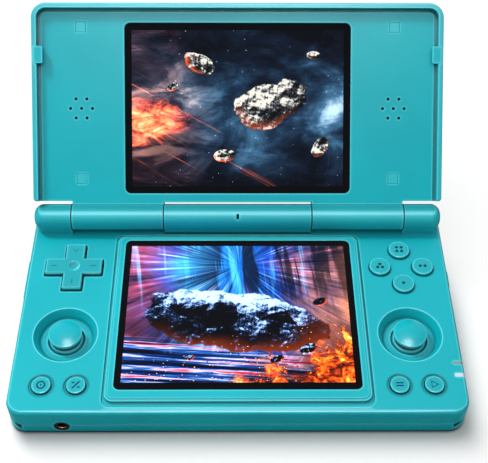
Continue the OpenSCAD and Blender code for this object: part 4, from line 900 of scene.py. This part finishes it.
def floor_grid(bm):
    """A square grid of flat faces."""
    places = [FLOOR_HALF * (i / FLOOR_STEPS - 0.5) * 2 for i in range(FLOOR_STEPS + 1)]
    rows = [[bm.verts.new((x, y, FLOOR_Z)) for x in places] for y in places]
    for a, b in zip(rows, rows[1:]):
        for i in range(FLOOR_STEPS):
            bm.faces.new((a[i], a[i + 1], b[i + 1], b[i]))


def lit_by_lamp(name, state, *objects):
    """The collection of what a lamp lights: only the objects (INCLUDE), or all but them (EXCLUDE)."""
    made = bpy.data.collections.new(name)
    for item in objects:
        made.objects.link(item)
    for item in made.collection_objects:
        item.light_linking.link_state = state
    return made


def lamp(scene, name, place, width, depth, power, receivers, glossy=False):
    """A rectangular lamp aimed at the origin, seen in diffuse light only, or in gloss only."""
    light = bpy.data.lights.new(name, "AREA")
    light.shape = "RECTANGLE"
    light.size = width
    light.size_y = depth
    light.energy = power
    holder = bpy.data.objects.new(name, light)
    holder.rotation_euler = (-Vector(place)).to_track_quat("-Z", "Y").to_euler()
    holder.location = place
    holder.visible_glossy = glossy
    holder.visible_diffuse = not glossy
    holder.light_linking.receiver_collection = receivers
    scene.collection.objects.link(holder)


def photo_camera(scene, focal_length, height):
    """The camera whose place, angles and lens were solved from the photograph."""
    level = math.cos(LOOK_DOWN)
    ahead = Vector((math.sin(LOOK_RIGHT) * level, math.cos(LOOK_RIGHT) * level, -math.sin(LOOK_DOWN)))
    right = Vector((math.cos(LOOK_RIGHT), -math.sin(LOOK_RIGHT), 0.0))
    up = right.cross(ahead)
    right, up = (math.cos(ROLL) * right + math.sin(ROLL) * up,
                 math.cos(ROLL) * up - math.sin(ROLL) * right)
    lens = bpy.data.cameras.new("photo camera")
    lens.sensor_width = 36.0
    lens.lens = focal_length
    lens.clip_start = 0.01
    camera = bpy.data.objects.new("photo_camera", lens)
    turn = Matrix((right, up, -ahead)).transposed().to_4x4()
    camera.matrix_world = Matrix.Translation((EYE_X, EYE_Y, height)) @ turn
    scene.collection.objects.link(camera)
    scene.camera = camera


# ---------------------------------------------------------------- operators

class CONSOLE_OT_shell(bpy.types.Operator):
    """Gives the moulded shells, barrels and caps their turquoise plastic"""
    bl_idname = "console.shell"
    bl_label = "Shell finish"

    def execute(self, context):
        satin = context.scene.console_shell.satin
        dress(shell_plastic("turquoise lid", satin, barrel=0.12, shade=shade_barrel),
              "hinge_cap_left", "hinge_cap_right", "lid_back")
        dress(shell_plastic("turquoise centre", satin + 0.12, edge_highlight_level=0.2, shade=shade_centre),
              "hinge_centre")
        dress(shell_plastic("turquoise panel", satin, reach=2.4, shine=0.12), "lid_panel", "lid_stops")
        dress(shell_plastic("turquoise deck", satin, deck=True, shade=shade_deck), "upper_shell")
        dress(shell_plastic("turquoise base", satin, reach=3.0, depth=(0.12, 0.5), shade=shade_base),
              "lower_shell")
        dress(shell_plastic("turquoise plugs", satin, reach=1.2, shine=0.12, edge_highlight_level=0.2, line=0.2),
              "lid_plugs")
        for node in ("upper_shell", "lower_shell", "lid_back"):
            even_normals(node)
        return {"FINISHED"}


class CONSOLE_OT_controls(bpy.types.Operator):
    """Gives the buttons, the cross pad and the sticks their glossier plastic"""
    bl_idname = "console.controls"
    bl_label = "Control finish"

    def execute(self, context):
        satin = context.scene.console_shell.satin - 0.08
        pressed = {"gloss": 0.2, "reach": 3.0, "depth": (0.1, 0.6), "edge_highlight_level": 0.5, "line": 0.25}
        keys = [node for node in NODES if node.startswith(
            ("face_button", "small_button", "shoulder_outer", "shoulder_inner"))]
        dress(shell_plastic("turquoise keys", satin, tone=0.92, **pressed),
              *keys, "volume_rocker", "power_button")
        dress(shell_plastic("turquoise pad", satin, tone=0.82, shade=shade_pad, **pressed), "cross_pad")
        dress(shell_plastic("turquoise stick", 0.36, reach=4.0, depth=(0.05, 0.42), edge_highlight_level=0.6, line=0.0,
                            shade=shade_stick), "stick_left", "stick_right")
        return {"FINISHED"}


class CONSOLE_OT_marks(bpy.types.Operator):
    """Inks plain pips and strokes on the buttons and the cross pad"""
    bl_idname = "console.marks"
    bl_label = "Button marks"

    def execute(self, context):
        marks = context.scene.console_marks
        colour = context.scene.console_shell.mark
        ink = plain_finish("mark ink", colour, 0.5, spread=0.06, bump=0.05, shine=0.1)
        engraved = plain_finish("engraved mark", ENGRAVED, 0.4, spread=0.06, bump=0.05, shine=0.2)
        width = marks.stroke / MM
        pip = marks.pip / MM

        for node, spots in FACE_PIPS.items():
            top = top_of(node)

            def pips(bm):
                for dx, dy in spots:
                    turned(bm, [(pip, -MARK_HALF_HEIGHT), (pip, 0.012), (pip * 0.8, MARK_HALF_HEIGHT)],
                           (top.x + dx * PIP_SPACING, top.y + dy * PIP_SPACING, top.z), "Z", 20)
            mesh_piece(node.replace("face_button", "pips"), pips, ink, node)

        def mark(name, node, strokes, finish, width):
            top = top_of(node)

            def build(bm):
                for points, closed in strokes:
                    moved = [(top.x + px, top.y + py) for px, py in points]
                    stroke(bm, moved, width, top.z, closed)
            mesh_piece(name, build, finish, node)

        for node, strokes in SMALL_MARKS.items():
            mark("mark_" + node, node, strokes, ink, width)
        mark("cross_pad_marks", "cross_pad", PAD_MARKS, engraved, width * 0.8)
        return {"FINISHED"}


class CONSOLE_OT_screens(bpy.types.Operator):
    """Lights both screens with their own pictures behind black-backed glass"""
    bl_idname = "console.screens"
    bl_label = "Screens"

    def execute(self, context):
        dress(screen_glass("lower screen glass", lower_picture, False), "lower_glass")
        dress(screen_glass("upper screen glass", upper_picture, True), "upper_glass")
        dress(plain_finish("picture panel", srgb(18, 24, 34), 0.3), "lower_lcd", "upper_lcd")
        return {"FINISHED"}


class CONSOLE_OT_inner(bpy.types.Operator):
    """Gives the inner parts, sockets, feet and screws their finishes"""
    bl_idname = "console.inner"
    bl_label = "Inner parts and sockets"

    def execute(self, context):
        dress(plain_finish("black rubber", srgb(34, 36, 40), 0.75, grain_scale=6.0, bump=0.4),
              "cross_rubber", "face_rubber", "small_rubber_left", "small_rubber_right", "rubber_feet")
        dress(plain_finish("black plastic", srgb(20, 22, 24), 0.45),
              "stick_housing_left", "stick_housing_right", "stick_carriage_left", "stick_carriage_right",
              "headphone_socket")
        dress(brushed_metal("steel", (0.62, 0.63, 0.65), 0.28),
              "hinge_pin_left", "hinge_pin_right", "cross_ball", "case_screws", "lid_screws",
              "stick_yoke_left", "stick_yoke_right", "charging_socket", "card_socket")
        dress(circuit_board("circuit board"),
              "main_board", "shoulder_switches_left", "shoulder_switches_right")
        dress(plain_finish("amber film", srgb(190, 122, 40), 0.3, grain_scale=1.0), "ribbon_roll")
        dress(plain_finish("cell wrap", srgb(42, 44, 50), 0.35, grain_scale=1.0), "battery")
        dress(woven_cloth("speaker cloth"), "speaker_left", "speaker_right")
        dress(plain_finish("dark foam", srgb(7, 9, 10), 0.9, shine=0.1), "microphone")
        dress(milky_guide("back light bar", srgb(136, 138, 132), 0.02), "light_bar_back")
        dress(milky_guide("front light bar", srgb(196, 208, 222), 0.06), "light_bar_front")
        return {"FINISHED"}


class CONSOLE_OT_sockets(bpy.types.Operator):
    """Adds the metal lining and contacts of the sockets"""
    bl_idname = "console.sockets"
    bl_label = "Socket contacts"

    def execute(self, context):
        nickel = brushed_metal("nickel", srgb(176, 128, 116), 0.3)
        gold = brushed_metal("gold contact", (0.83, 0.6, 0.26), 0.25)
        low, high = box_of("headphone_socket")
        mouth = ((low.x + high.x) / 2, low.y, (low.z + high.z) / 2)

        def lining(bm):
            profile = [(1.78, 0.35), (1.78, 3.2), (1.66, 3.2), (1.66, 0.55), (1.72, 0.35)]
            turned(bm, profile, mouth, "Y", 40, closed=True)
        mesh_piece("headphone_lining", lining, nickel, "base", smooth=True)

        def spring(bm):
            rows = []
            for t in range(9):
                s = t / 8
                y = mouth[1] + 3.4 + 6.0 * s
                z = mouth[2] - 1.7 + 0.75 * math.sin(math.pi * s)
                rows.append([corner(bm, mouth[0] + dx, y, z + dz)
                             for dx, dz in ((-0.5, 0), (0.5, 0), (0.5, 0.12), (-0.5, 0.12))])
            skin(bm, rows)
        mesh_piece("headphone_contact", spring, gold, "base", smooth=True)

        low, high = box_of("charging_socket")
        mid_z = (low.z + high.z) / 2

        def contacts(bm):
            for side in (-1, 1):
                for i in range(8):
                    x = (i - 3.5) * 0.6
                    front, back = high.y - 4.6, high.y - 1.3
                    corners = [(x - 0.17, back), (x + 0.17, back), (x + 0.17, front), (x - 0.17, front)]
                    skin(bm, [[corner(bm, cx, cy, mid_z + side * out) for cx, cy in corners]
                              for out in (0.34, 0.38)])
        mesh_piece("charging_contacts", contacts, gold, "base")
        return {"FINISHED"}


class CONSOLE_OT_studio(bpy.types.Operator):
    """Sets the pale floor, the soft light and the camera"""
    bl_idname = "console.studio"
    bl_label = "Studio"

    def execute(self, context):
        scene = context.scene
        studio = scene.console_studio
        scene.view_settings.view_transform = "Standard"
        studio_world(scene, studio.ambient)
        ground = mesh_object("studio_floor", floor_grid, floor_paper())

        paper_only = lit_by_lamp("paper only", "INCLUDE", ground)
        all_but_paper = lit_by_lamp("all but paper", "EXCLUDE", ground)
        # the highlight would show as a hard-edged rectangle on the screens
        all_but_glass = lit_by_lamp(
            "all but glass", "EXCLUDE", NODES["lower_glass"], NODES["upper_glass"])
        lamp(scene, "overhead", (-0.12, -0.05, 0.85), 1.1, 0.9, studio.key, all_but_paper)
        lamp(scene, "side", (-0.42, 0.26, 0.68), 0.14, 0.14, studio.side, all_but_paper)
        lamp(scene, "paper light", (-0.27, 0.40, 0.75), 0.45, 0.85, studio.paper, paper_only)
        lamp(scene, "highlight", (0.0, -0.21, 0.85), 0.40, 0.46, studio.highlight, all_but_glass,
             glossy=True)
        photo_camera(scene, studio.lens, studio.height)
        return {"FINISHED"}


OPERATORS = (CONSOLE_OT_shell, CONSOLE_OT_controls, CONSOLE_OT_marks, CONSOLE_OT_screens,
             CONSOLE_OT_inner, CONSOLE_OT_sockets, CONSOLE_OT_studio)
GROUPS = (ConsoleShell, ConsoleMarks, ConsoleStudio)


class CONSOLE_PT_panel(bpy.types.Panel):
    """Lists the console's pieces and sizes"""
    bl_idname = "CONSOLE_PT_panel"
    bl_label = "Console"
    bl_space_type = "VIEW_3D"
    bl_region_type = "UI"
    bl_category = "Console"

    def draw(self, context):
        for kind in OPERATORS:
            self.layout.operator(kind.bl_idname)
        for name in ("console_shell", "console_marks", "console_studio"):
            group = getattr(context.scene, name)
            for key in group.bl_rna.properties.keys():
                if key not in ("rna_type", "name"):
                    self.layout.prop(group, key)


def register():
    for kind in GROUPS + OPERATORS + (CONSOLE_PT_panel,):
        bpy.utils.register_class(kind)
    bpy.types.Scene.console_shell = bpy.props.PointerProperty(type=ConsoleShell)
    bpy.types.Scene.console_marks = bpy.props.PointerProperty(type=ConsoleMarks)
    bpy.types.Scene.console_studio = bpy.props.PointerProperty(type=ConsoleStudio)


def unregister():
    del bpy.types.Scene.console_studio
    del bpy.types.Scene.console_marks
    del bpy.types.Scene.console_shell
    for kind in reversed(GROUPS + OPERATORS + (CONSOLE_PT_panel,)):
        bpy.utils.unregister_class(kind)


def main():
    register()
    bpy.ops.console.shell()
    bpy.ops.console.controls()
    bpy.ops.console.marks()
    bpy.ops.console.screens()
    bpy.ops.console.inner()
    bpy.ops.console.sockets()
    bpy.ops.console.studio()


if __name__ == "__main__":
    main()
